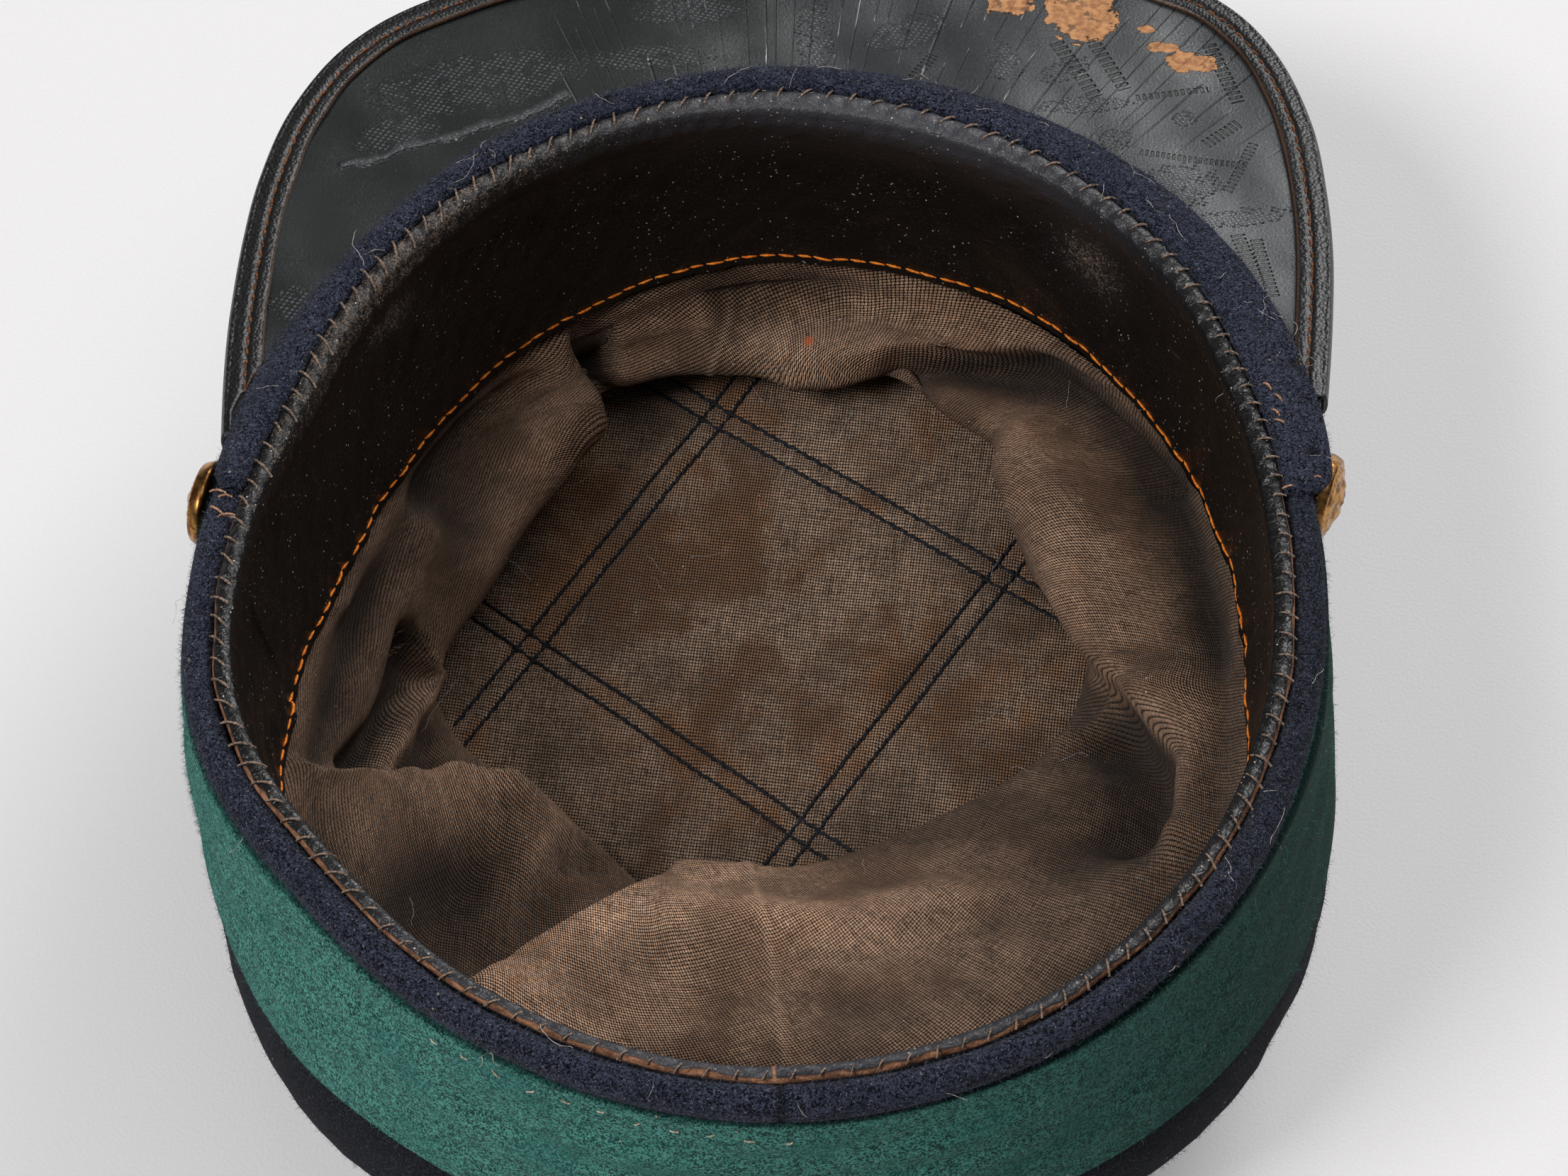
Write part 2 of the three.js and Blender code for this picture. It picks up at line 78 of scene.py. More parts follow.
PEAK_THICKNESS = 2.4
PEAK_TOP = -1.0
BINDING_WIDTH = 5.0
BINDING_THICKNESS = 0.9
FACING_THICKNESS = 1.4
BUTTON_RADIUS = 7.0
FIBRE_WIDTH = 0.055
CURL_SIZE = 4.5


def named_rows(columns, *rows):
    """A table: each row is a dictionary of the named columns."""
    names = columns.split()
    return [dict(zip(names, row)) for row in rows]


# The walls, a row for every 22.5 degrees of the rim. Angle 0 is +X, 90 the back and 270
# the front. rim: radius of the sweatband's face at the rim. sweat: the same at its lower
# edge. hem: outer radius of the colour band at its lower edge. facing: width of the navy
# strip over the peak's seam. belly: how far the soft wall below the band swells out.
WALLS = named_rows(
    "angle rim sweat hem facing belly",
    (0, 80.9, 74.4, 89.8, 5.2, 3),
    (22.5, 85.7, 78.4, 91.8, 6.0, 5),
    (45, 87.4, 82.0, 94.6, 6.0, 10),
    (67.5, 93.6, 87.4, 96.4, 6.0, 13),
    (90, 98.2, 91.6, 98.0, 6.0, 11),
    (112.5, 97.0, 90.4, 97.6, 6.0, 9),
    (135, 91.4, 87.0, 97.6, 6.0, 8),
    (157.5, 85.5, 82.0, 96.0, 8.0, 4),
    (180, 82.5, 79.4, 93.5, 7.8, 2),
    (202.5, 84.9, 84.0, 94.6, 10.8, 0),
    (225, 92.3, 92.8, 100.7, 10.0, 0),
    (247.5, 98.0, 100.6, 108.6, 8.4, 0),
    (270, 99.6, 100.8, 108.0, 6.6, 0),
    (292.5, 93.9, 91.4, 98.8, 6.4, 0),
    (315, 85.6, 79.6, 91.4, 6.2, 0),
    (337.5, 79.3, 73.4, 86.8, 7.8, 1),
)

# Where the wall lining turns under over the flat lining, a row for every 15 degrees.
# crest: its distance from the centre. height: how high it stands. slack: how far the
# cloth above it stands off the straight line to it. valley: a hollow below the
# sweatband. roll: how far the cloth swells above the crest.
CRESTS = named_rows(
    "angle crest height slack valley roll",
    (0, 47.5, 17, 4, 4, 4),
    (15, 59, 14, 3, 4, 3),
    (30, 60, 12, 3, 1, 1),
    (45, 55.8, 12.5, 5, 0, 2),
    (60, 56.5, 11, 4, 0, 2),
    (75, 60.5, 9, -1, 2, 0),
    (90, 55.6, 11, -3, 3, 0),
    (105, 53.2, 12, -3, 3, 0),
    (120, 53.4, 13, -2, 3, 0),
    (135, 55.8, 13.5, -1, 3, 0),
    (150, 58.5, 12, -2, 3, 1),
    (165, 58, 13, 0, 4, 3),
    (180, 55.5, 16, 2, 5, 5),
    (195, 52, 17, 3, 2.5, 5),
    (210, 50.2, 17, 4, 1.5, 4),
    (225, 47, 16, 4, 1.5, 3),
    (240, 48, 15, 3, 2, 2),
    (255, 46.4, 14, 3, 2, 2),
    (270, 44.8, 13, 3, 2, 2),
    (285, 45.2, 13.5, 3, 2, 2),
    (300, 47.6, 15, 3, 3, 3),
    (315, 46, 17, 3, 2.5, 4),
    (330, 41.6, 18.5, 3, 3.5, 5),
    (345, 42.6, 19, 4, 5, 5),
)

# Folds of the wall lining. route: (angle, distance from the centre) of points along its
# ridge. height: above the sheet, or below it if negative. left and right: how far it
# spreads to each side of the route, seen from above and looking along it.
LINING_FOLDS = named_rows(
    "name height left right route",
    ("left roll", 4.5, 4, 7, ((0, 59), (10, 63), (19, 70), (27, 79), (33, 88))),
    ("left inner roll", 3.5, 2.2, 2.6, ((18, 61), (25, 66), (30, 71), (35, 78))),
    ("left groove", -5.0, 1.8, 2.2, ((16, 64), (22, 68), (28, 74), (33, 82))),
    ("left tuck", 4.0, 2.0, 3.0, ((340, 66), (352, 67), (4, 69), (14, 73))),
    ("corner pocket", -3.0, 3, 3, ((29, 66), (33, 69), (35, 73))),
    ("lower left edge", 8.0, 1.8, 13, ((35, 91), (37, 80), (38, 70), (42, 60))),
    ("lower left hollow", -7.0, 7, 9, ((47, 64), (51, 79), (54, 92))),
    ("lower left slack", -4.0, 6, 5, ((59, 62), (61, 78), (61, 94))),
    ("lower right edge", 9.0, 2.8, 18, ((64, 99), (65, 91), (68, 82), (72, 71), (78, 60))),
    ("back bulge", 4.0, 7, 7, ((80, 76), (96, 74), (112, 74))),
    ("right edge", 8.0, 9, 2.4, ((206, 52), (190, 53), (174, 59), (161, 66), (152, 76))),
    ("right edge end", 6.0, 8, 4, ((152, 76), (146, 84), (138, 91))),
    ("right pocket", -9.0, 6, 7, ((152, 67), (146, 76), (138, 82))),
    ("right tuck", 3.5, 4, 1.5, ((158, 70), (155, 64), (150, 59))),
    ("front left edge", 8.0, 1.6, 12, ((303, 66), (310, 54), (320, 45))),
    ("front left pocket", -8.0, 3, 4, ((301, 62), (305, 54), (309, 47))),
    ("front upper roll", 3.0, 3, 3, ((301, 54), (292, 53), (282, 52))),
    ("front right crease", 5.5, 7, 2.0, ((262, 45), (251, 48), (240, 53), (229, 59), (218, 64),
                                         (207, 68))),
    ("front right groove", -5.0, 1.8, 3.4, ((240, 49), (229, 54.5), (218, 60), (207, 64),
                                            (198, 67), (188, 70))),
    ("front right swell", 2.0, 4, 4, ((250, 58), (238, 62), (228, 66))),
    ("right wall groove", -2.0, 2.5, 4, ((204, 68), (196, 70), (188, 72), (180, 75))),
)

# Seams of the wall lining, as routes like those of the folds.
LINING_SEAMS = named_rows(
    "name route",
    ("front", ((277, 60), (276, 54), (278, 50), (282, 45))),
    ("back", ((89, 57), (91, 75), (92, 103))),
)

# The peak's outer edge, from its left end round the front to its right end, in the
# rim's plane. across: to the left of the rim's centre. ahead: in front of it.
PEAK_OUTLINE = named_rows(
    "across ahead",
    (82.6, 16.0),
    (83.3, 26.0),
    (83.8, 38.0),
    (83.8, 50.0),
    (83.0, 66.0),
    (81.3, 80.5),
    (77.2, 96.5),
    (68.6, 112.0),
    (54.4, 123.3),
    (28.0, 134.5),
    (-8.0, 141.0),
    (-46.0, 137.5),
    (-69.5, 128.4),
    (-80.8, 120.4),
    (-88.0, 108.5),
    (-92.2, 93.0),
    (-93.4, 78.0),
    (-93.4, 64.0),
    (-92.3, 50.0),
    (-90.7, 36.0),
    (-89.0, 24.0),
)
PEAK_ENDS = (math.radians(347.5), math.radians(193))
FACING_ENDS = (math.radians(352), math.radians(187))
PEAK_GAP = 0.5
EDGE_POINTS = 2000

# Moth holes in the facing: angle, share of its width, and size.
FACING_HOLES = ((284.4, 0.45, 0.9), (203.8, 0.72, 1.1), (191.8, 0.6, 0.9))

BUTTONS = named_rows(
    "name angle depth shank turn",
    ("button_left", 349.6, 8.6, 0.2, -14),
    ("button_right", 191.0, 7.6, 0.5, 20),
)
SHANK_GAP = 0.2

# ---------------------------------------------------------------------- plain geometry


def column(table, name, angle):
    """Value of a table's column at an angle, on a smooth curve through its rows."""
    values = np.array([row[name] for row in table], float)
    place = np.mod(angle, TURN) / TURN * len(values)
    row = np.floor(place).astype(int)
    t = place - row
    a, b, c, d = (values[(row + k) % len(values)] for k in (-1, 0, 1, 2))
    rise_b = (c - a) / 2
    rise_c = (d - b) / 2
    value = (2 * t**3 - 3 * t**2 + 1) * b + (t**3 - 2 * t**2 + t) * rise_b
    return value + (3 * t**2 - 2 * t**3) * c + (t**3 - t**2) * rise_c


def turn_from(angle, middle):
    """How far an angle lies past a middle one given in degrees, from -pi to pi."""
    return np.mod(angle - math.radians(middle) + math.pi, TURN) - math.pi


def near_angle(angle, middle, spread):
    """1 at a middle angle, in degrees, falling to 0 about twice the spread away."""
    return np.exp(-(turn_from(angle, middle) / math.radians(spread))**2)


def rises(angle, *rows):
    """Sum of smooth rises round the rim, each as its height, middle angle and spread."""
    return sum(height * near_angle(angle, middle, spread) for height, middle, spread in rows)


def polar(angle, radius):
    """Plan points at an angle and a distance from the centre."""
    return np.stack([radius * np.cos(angle), radius * np.sin(angle)], -1)


def outward(angle):
    """Level directions out of the hat."""
    return np.stack([np.cos(angle), np.sin(angle), 0 * angle], -1)


def raised(plan, height):
    """Points at a height over plan points."""
    height = np.broadcast_to(height, plan.shape[:-1])
    return np.concatenate([plan, height[..., None]], -1)


def curve_point(knots, s):
    """A point between the second and third of four knots of a smooth curve."""
    a, b, c, d = knots
    bend = (2 * a - 5 * b + 4 * c - d) * s**2 + (3 * b - 3 * c + d - a) * s**3
    return (2 * b + (c - a) * s + bend) / 2


def through(points, count):
    """Points on a smooth open curve through the given ones."""
    p = np.array(points, float)
    p = np.concatenate([[2 * p[0] - p[1]], p, [2 * p[-1] - p[-2]]])
    place = np.linspace(0, len(p) - 3 - 1e-9, count)
    i = np.floor(place).astype(int)
    return curve_point([p[i + k] for k in range(4)], (place - i)[:, None])


def evenly(points, count):
    """Points at equal distances along a polyline."""
    steps = np.linalg.norm(np.diff(points, axis=0), axis=1)
    along = np.concatenate([[0], np.cumsum(steps)])
    wanted = np.linspace(0, along[-1], count)
    return np.stack([np.interp(wanted, along, axis) for axis in points.T], 1)


def ripple(points, size, seed):
    """A smooth random swell of about -1 to 1, with its hollows about size apart."""
    rng = np.random.default_rng(seed)
    total = np.zeros(points.shape[:-1])
    for _ in range(9):
        direction = rng.normal(size=points.shape[-1])
        direction *= TURN / size * rng.uniform(0.6, 1.5) / np.linalg.norm(direction)
        total += np.sin(points @ direction + rng.uniform(0, TURN))
    return total / 3


def wander(angle, waves, seed):
    """A smooth random wave round the hat, of about -1 to 1."""
    return ripple(polar(angle, 1), TURN / waves, seed)


def to_hat(points):
    """Points of the rim's frame, in the hat's frame."""
    return aim_to_hat(points) + RIM_CENTRE


def aim_to_hat(vectors):
    """Directions of the rim's frame, in the hat's frame."""
    x, y, z = np.moveaxis(vectors, -1, 0)
    cos, sin = math.cos(RIM_TILT), math.sin(RIM_TILT)
    return np.stack([x, y * cos - z * sin, y * sin + z * cos], -1)


def rim_point(angle, radius, depth):
    """A hat point from polar coordinates in the rim's plane and a depth below it."""
    flat = 0 * (angle + radius + depth)
    return to_hat(np.stack([radius * np.cos(angle), radius * np.sin(angle), flat - depth], -1))


def rim_aim(angle, out, up):
    """A direction at a place on the rim, as its outward and upward parts."""
    x, y = out * np.cos(angle), out * np.sin(angle)
    return aim_to_hat(unit(np.stack([x, y, up + 0 * x], -1)))


def unit(vectors):
    """The same directions, at a length of 1."""
    return vectors / np.maximum(np.linalg.norm(vectors, axis=-1, keepdims=True), 1e-12)


def grid_normals(grid):
    """Normals of a grid of points that goes all round the hat."""
    round_ = np.roll(grid, -1, 0) - np.roll(grid, 1, 0)
    return unit(np.cross(round_, np.gradient(grid, axis=1)))


def band_radius(angle, depth):
    """Outer radius of the colour band."""
    top = column(WALLS, "rim", angle) + SWEAT_THICKNESS + BASE_THICKNESS
    top = top + COLOUR_THICKNESS + 2 * SEWN_GAP
    return top + (column(WALLS, "hem", angle) - top) * depth / BAND_DEPTH


def base_radius(angle, depth):
    """Outer radius of the navy ring behind the colour band."""
    return band_radius(angle, depth) - COLOUR_THICKNESS - SEWN_GAP


def sweat_radius(angle, depth):
    """Inner face of the sweatband before its rolled edge and puckers."""
    rim = column(WALLS, "rim", angle)
    return rim + (column(WALLS, "sweat", angle) - rim) * depth / SWEAT_DEPTH


def round_rim(count):
    """Angles at equal distances along the rim, and their share of the way round."""
    angle = np.linspace(0, TURN, 2881)
    line = polar(angle, column(WALLS, "rim", angle))
    along = np.concatenate([[0], np.cumsum(np.linalg.norm(np.diff(line, axis=0), axis=1))])
    share = np.linspace(0, 1, count + 1)[:-1]
    return np.interp(share * along[-1], along, angle), share


def peak_sections(count, spare=0.0):
    """Angle, inner and outer points of the peak, in the rim's plane, left to right."""
    corners = [(row["across"], -row["ahead"]) for row in PEAK_OUTLINE]
    outer = evenly(through(corners, EDGE_POINTS), EDGE_POINTS)
    share = np.linspace(spare, 1 - spare, count)
    place = share * (EDGE_POINTS - 1)
    outer = np.stack([np.interp(place, np.arange(EDGE_POINTS), axis) for axis in outer.T], 1)
    angle = PEAK_ENDS[0] + (PEAK_ENDS[1] - PEAK_ENDS[0]) * share
    return angle, polar(angle, column(WALLS, "rim", angle) + ROLL_WIDTH + PEAK_GAP), outer


def plan_route(route):
    """Plan points of a route of (angle in degrees, distance from the centre)."""
    angles, radii = np.array(route, float).T
    return through(polar(np.radians(angles), radii), 60)


def nearest(points, line):
    """Distance from plan points to a polyline, and their side of it: from 1 on its left
    to -1 on its right, turning smoothly round its ends."""
    flat = points.reshape(-1, 2)
    best = np.full(len(flat), 1e9)
    side = np.zeros(len(flat))
    for a, b in zip(line[:-1], line[1:]):
        ab = b - a
        t = np.clip(((flat - a) @ ab) / (ab @ ab), 0, 1)
        off = flat - (a + t[:, None] * ab)
        gap = np.linalg.norm(off, axis=1)
        closer = gap < best
        best[closer] = gap[closer]
        across = (ab[0] * off[closer, 1] - ab[1] * off[closer, 0]) / np.linalg.norm(ab)
        side[closer] = across / (gap[closer] + 1e-9)
    return best.reshape(points.shape[:-1]), side.reshape(points.shape[:-1])


# ------------------------------------------------------------------------------ meshes


def closing(values):
    """The same rows with the first one again at the end."""
    return np.concatenate([values, values[:1]], 0)


def looped(rows):
    """Each row with its first point again at its end."""
    return np.concatenate([rows, rows[:, :1]], 1)


def linked(name, data):
    """A new object of the scene."""
    thing = bpy.data.objects.new(name, data)
    bpy.context.scene.collection.objects.link(thing)
    return thing


def add_values(mesh, label, values, kind="FLOAT"):
    """An attribute of a mesh's points."""
    attribute = mesh.attributes.new(label, kind, "POINT")
    field = "value" if kind == "FLOAT" else "vector"
    attribute.data.foreach_set(field, values.astype(np.float32).ravel())


def body(name, rings, closed, finish, masks=None, chart=None):
    """A closed body from rings[i, j], point j of section i, in millimetres. Sections
    close on themselves. masks are values at [i, j], for the finish and the growers. chart
    is its UV map, in millimetres, at [i, j], one row and one column more than the rings;
    without it, that is the distance round and down."""
    count, around = rings.shape[:2]
    last = count if closed else count - 1
    i, j = (k.ravel() for k in np.meshgrid(np.arange(last), np.arange(around), indexing="ij"))
    across = np.stack([i, i, i + 1, i + 1], 1)
    along = np.stack([j, j + 1, j + 1, j], 1)
    faces = (across % count) * around + along % around
    if chart is None:
        chart = round_and_down(rings)
    uv = chart[across, along] * MM
    points = rings.reshape(-1, 3) * MM
    a, b, c, d = (points[faces[:, k]] for k in range(4))
    inside_out = np.einsum("ij,ij->", a, np.cross(b, c) + np.cross(c, d)) < 0
    if inside_out:
        faces, uv = faces[:, ::-1], uv[:, ::-1]
    polygons = faces.tolist()
    uv = uv.reshape(-1, 2)
    if not closed:
        first = list(range(around))
        end = [k + (count - 1) * around for k in first]
        polygons += [first, end[::-1]] if inside_out else [first[::-1], end]
        uv = np.concatenate([uv, np.zeros((2 * around, 2))])
    return mesh_object(name, points, polygons, uv, finish, masks)


def round_and_down(rings):
    """A chart of the distances round the hat and down it."""
    down = np.linalg.norm(np.diff(looped(rings), axis=1), axis=2).cumsum(1)
    down = closing(np.concatenate([np.zeros((len(rings), 1)), down], 1))
    steps = np.linalg.norm(np.diff(closing(rings).mean(1), axis=0), axis=1)
    round_ = np.concatenate([[0], steps.cumsum()])[:, None] + 0 * down
    return np.stack([round_, down], -1)


def mesh_object(name, points, polygons, uv, finish, masks=None):
    """A smooth shaded mesh object from points in metres."""
    mesh = bpy.data.meshes.new(name)
    mesh.from_pydata(points.tolist(), [], polygons)
    layer = mesh.uv_layers.new(name="cloth")
    layer.data.foreach_set("uv", uv.astype(np.float32).ravel())
    for label, values in (masks or {}).items():
        add_values(mesh, label, values)
    mesh.shade_smooth()
    mesh.materials.append(finish)
    return linked(name, mesh)


def shell(sheet, thickness):
    """Rings of a wall whose face is a grid of points. Its back has fewer rows."""
    back = sheet + grid_normals(sheet) * thickness
    rows = np.unique(np.append(np.arange(0, sheet.shape[1], 4), sheet.shape[1] - 1))
    return np.concatenate([sheet, back[:, rows[::-1]]], 1)


def on_shell(values, rings):
    """A mask of a shell's face, with nothing on its back."""
    spare = rings.shape[1] - values.shape[1]
    return np.concatenate([values, np.zeros((len(values), spare))], 1)


def rim_rings(angle, sections):
    """Rings from a list of (radius, depth) pairs, arrays over the angle."""
    points = [rim_point(angle, radius, depth + 0 * angle) for radius, depth in sections]
    return np.stack(points, 1)


# ---------------------------------------------------------------------- nodes as Python


class Signal:
    """A socket of a node tree. Arithmetic on it adds Math nodes."""

    def __init__(self, nodes, socket):
        self.nodes = nodes
        self.socket = socket

    def __add__(self, other):
        return self.nodes.math("ADD", self, other)

    def __radd__(self, other):
        return self.nodes.math("ADD", other, self)

    def __sub__(self, other):
        return self.nodes.math("SUBTRACT", self, other)

    def __rsub__(self, other):
        return self.nodes.math("SUBTRACT", other, self)

    def __mul__(self, other):
        return self.nodes.math("MULTIPLY", self, other)

    def __rmul__(self, other):
        return self.nodes.math("MULTIPLY", other, self)

    def __truediv__(self, other):
        return self.nodes.math("DIVIDE", self, other)

    def __abs__(self):
        return self.nodes.math("ABSOLUTE", self)

    def sin(self):
        return self.nodes.math("SINE", self)

    def between(self, low, high):
        """0 at low, 1 at high, smooth in between and level beyond. low may be above."""
        inputs = {"Value": self, "From Min": low, "From Max": high}
        return self.nodes.signal("ShaderNodeMapRange", inputs, interpolation_type="SMOOTHSTEP")

    def clamped(self):
        return self.nodes.signal("ShaderNodeClamp", {"Value": self})


class Nodes:
    """A node tree that is written as Python calls."""

    def __init__(self, tree):
        self.tree = tree

    def node(self, kind, inputs, settings):
        """Adds a node: its settings first, then the values or links of its sockets."""
        node = self.tree.nodes.new(kind)
        for name, value in settings.items():
            setattr(node, name, value)
        for name, value in inputs.items():
            if isinstance(value, Signal):
                self.tree.links.new(value.socket, node.inputs[name])
            else:
                node.inputs[name].default_value = value
        return node

    def signals(self, kind, inputs, *outputs, **settings):
        """Adds a node and gives the signals of the named outputs."""
        node = self.node(kind, inputs, settings)
        return [Signal(self, node.outputs[output]) for output in outputs]

    def signal(self, kind, inputs, output=0, **settings):
        return self.signals(kind, inputs, output, **settings)[0]

    def math(self, operation, *values):
        return self.signal("ShaderNodeMath", dict(enumerate(values)), operation=operation)

    def vector(self, x, y, z):
        return self.signal("ShaderNodeCombineXYZ", {"X": x, "Y": y, "Z": z})

    def parts(self, vector):
        return self.signals("ShaderNodeSeparateXYZ", {"Vector": vector}, *"XYZ")

    def vector_math(self, operation, a, b):
        return self.signal("ShaderNodeVectorMath", {0: a, 1: b}, operation=operation)


# ------------------------------------------------------ Geometry Nodes for what repeats


class Grower(Nodes):
    """A Geometry Nodes tree that grows things on a ground. Its named inputs are sizes, a
    seed and the material of what it grows."""

    def __init__(self, name, sizes):
        super().__init__(bpy.data.node_groups.new(name, "GeometryNodeTree"))
        kinds = {"Ground": "Geometry", **dict.fromkeys(sizes.split(), "Float")}
        kinds.update({"Seed": "Int", "Finish": "Material"})
        face = self.tree.interface
        self.keys = {}
        for label, kind in kinds.items():
            socket = face.new_socket(label, in_out="INPUT", socket_type="NodeSocket" + kind)
            self.keys[label] = socket.identifier
        face.new_socket("Grown", in_out="OUTPUT", socket_type="NodeSocketGeometry")
        self.entry = self.tree.nodes.new("NodeGroupInput")
        self.way_out = self.tree.nodes.new("NodeGroupOutput")

    def given(self, *labels):
        given = [Signal(self, self.entry.outputs[label]) for label in labels]
        return given if len(given) > 1 else given[0]

    def attribute(self, name, kind="FLOAT"):
        return self.signal("GeometryNodeInputNamedAttribute", {"Name": name}, data_type=kind)

    def chance(self, low, high, step=0):
        """A random number for each point, from the tree's seed and a step of its own."""
        seed = self.given("Seed") + step if step else self.given("Seed")
        inputs = {2: low, 3: high, "Seed": seed}
        return self.signal("FunctionNodeRandomValue", inputs, 1, data_type="FLOAT")

    def turned(self, rotation, x, y, z):
        """A rotation followed by Euler angles in its own frame."""
        euler = self.signal("FunctionNodeEulerToRotation", {0: self.vector(x, y, z)})
        inputs = {"Rotation": rotation, "Rotate By": euler}
        return self.signal("FunctionNodeRotateRotation", inputs, rotation_space="LOCAL")

    def scattered(self):
        """Points on the ground where its mask nap is above 0, each turned by chance."""
        density = self.given("Density") * self.attribute("nap")
        inputs = {"Mesh": self.given("Ground"), "Density": density, "Seed": self.given("Seed")}
        kind = "GeometryNodeDistributePointsOnFaces"
        points, upright = self.signals(kind, inputs, "Points", "Rotation")
        return points, self.turned(upright, 0.0, 0.0, self.chance(0.0, TURN, 1))

    def copies(self, points, instance, rotation, scale):
        inputs = {"Points": points, "Instance": instance, "Rotation": rotation, "Scale": scale}
        return self.signal("GeometryNodeInstanceOnPoints", inputs)

    def moved(self, geometry, **places):
        """Geometry at a new Position, or off by an Offset."""
        return self.signal("GeometryNodeSetPosition", {"Geometry": geometry, **places})

    def tube(self, curve, thickness, sides):
        """A round thread of a thickness along a curve, slightly flattened and twisted."""
        inputs = {"Resolution": sides, "Radius": thickness * 0.5}
        circle = self.signal("GeometryNodeCurvePrimitiveCircle", inputs, mode="RADIUS")
        inputs = {"Geometry": circle, "Scale": (1.0, 0.8, 1.0)}
        circle = self.signal("GeometryNodeTransform", inputs)
        inputs = {"Curve": curve, "Profile Curve": circle, "Fill Caps": True}
        return self.signal("GeometryNodeCurveToMesh", inputs)

    def realized(self, geometry):
        return self.signal("GeometryNodeRealizeInstances", {"Geometry": geometry})

    def end(self, geometry):
        inputs = {"Geometry": self.realized(geometry), "Material": self.given("Finish")}
        geometry = self.signal("GeometryNodeSetMaterial", inputs)
        self.tree.links.new(geometry.socket, self.way_out.inputs[0])


def stitch_grower():
    """Threads that arch over a route, one for every spacing, along it or slanted."""
    g = Grower("stitch row", "Spacing Length Thickness Rise Sink Slant Uneven")
    uneven = g.given("Uneven")
    route = g.signal("GeometryNodeMeshToCurve", {0: g.given("Ground")})
    inputs = {"Curve": route, "Length": g.given("Spacing")}
    route = g.signal("GeometryNodeResampleCurve", inputs, mode="LENGTH")
    tangent = g.signal("GeometryNodeInputTangent", {})
    inputs = {0: tangent, 1: g.attribute("out", "FLOAT_VECTOR")}
    facing = g.signal("FunctionNodeAxesToRotation", inputs, primary_axis="X",
                      secondary_axis="Z")
    slant = g.given("Slant") + g.attribute("slant") + g.chance(-1.0, 1.0) * uneven
    facing = g.turned(facing, 0.0, g.chance(-0.4, 0.4, 1) * uneven, slant)
    half, sink = g.given("Length") * 0.5, g.given("Sink") * -1.0
    ends = {"Start": g.vector(half * -1.0, 0.0, sink), "End": g.vector(half, 0.0, sink)}
    ends["Middle"] = g.vector(0.0, 0.0, g.given("Rise") * 2.0)
    arch = g.signal("GeometryNodeCurveQuadraticBezier", {"Resolution": 7, **ends})
    along = g.signal("GeometryNodeSplineParameter", {})
    arch = g.signal("GeometryNodeSetCurveTilt", {"Curve": arch, "Tilt": along * TURN})
    thread = g.tube(arch, g.given("Thickness"), 6)
    thread = g.signal("GeometryNodeSetShadeSmooth", {0: thread})
    short = g.attribute("short")
    longer = 1.0 + g.chance(-0.6, 0.5, 2) * uneven
    scale = g.vector(longer - short, 1.0 - short * 0.4, 1.0 - short * 0.8)
    g.end(g.copies(route, thread, facing, scale))
    return g


def fluff_grower():
    """Short bent fibres that stand on a cloth."""
    g = Grower("wool fluff", "Density Length Width Lift")
    length, width, lift = g.given("Length", "Width", "Lift")
    points, facing = g.scattered()
    inputs = {"Size X": length, "Size Y": width, "Vertices X": 3, "Vertices Y": 2}
    fibre = g.signal("GeometryNodeMeshGrid", inputs)
    x, y, _ = g.parts(g.signal("GeometryNodeInputPosition", {}))
    x = x + length * 0.5
    share = x / length
    bent = g.vector(x - share * share * length * 0.15, y * (1.0 - share * 0.8),
                    lift * share * (1.5 - share * 0.8) - length * 0.06)
    fibre = g.moved(fibre, Position=bent)
    facing = g.turned(facing, g.chance(-0.8, 0.8, 2), g.chance(-0.7, 0.15, 3), 0.0)
    g.end(g.copies(points, fibre, facing, g.chance(0.5, 1.5, 4)))
    return g


def hair_grower():
    """A few long curled hairs that have settled on a cloth."""
    g = Grower("stray hairs", "Density Length Thickness Curl")
    points, facing = g.scattered()
    inputs = {"Start": (0.0, 0.0, 0.0), "End": g.vector(g.given("Length"), 0.0, 0.0)}
    line = g.signal("GeometryNodeCurvePrimitiveLine", inputs)
    line = g.signal("GeometryNodeResampleCurve", {"Curve": line, "Count": 12})
    facing = g.turned(facing, 0.0, g.chance(-0.25, 0.0, 2), 0.0)
    hairs = g.realized(g.copies(points, line, facing, g.chance(0.4, 1.6, 3)))
    place = g.signal("GeometryNodeInputPosition", {})
    inputs = {"Vector": place, "Scale": 1 / (CURL_SIZE * MM), "Detail": 1.0}
    swirl = g.signal("ShaderNodeTexNoise", inputs, "Color")
    offset = g.vector_math("SUBTRACT", swirl, (0.5, 0.5, 0.42))
    curl = g.given("Curl") * 2.0
    offset = g.vector_math("MULTIPLY", offset, g.vector(curl, curl, curl * 0.4))
    g.end(g.tube(g.moved(hairs, Offset=offset), g.given("Thickness"), 4))
    return g


def grown(name, ground, grower, finish, **sizes):
    """The plain mesh that a tree grows on an object. Sizes are in the tree's units."""
    modifier = ground.modifiers.new("grower", "NODES")
    modifier.node_group = grower.tree
    for label, value in {**sizes, "Seed": len(name), "Finish": finish}.items():
        modifier[grower.keys[label]] = value
    bpy.context.view_layer.update()
    shown = ground.evaluated_get(bpy.context.evaluated_depsgraph_get())
    mesh = bpy.data.meshes.new_from_object(shown)
    ground.modifiers.remove(modifier)
    return linked(name, mesh)


# --------------------------------------------------------------------------- finishes


def dye(code):
    """A linear colour from a hexadecimal sRGB one."""
    channels = [int(code[k:k + 2], 16) / 255 for k in (0, 2, 4)]
    linear = [c / 12.92 if c < 0.04045 else ((c + 0.055) / 1.055)**2.4 for c in channels]
    return (*linear, 1.0)


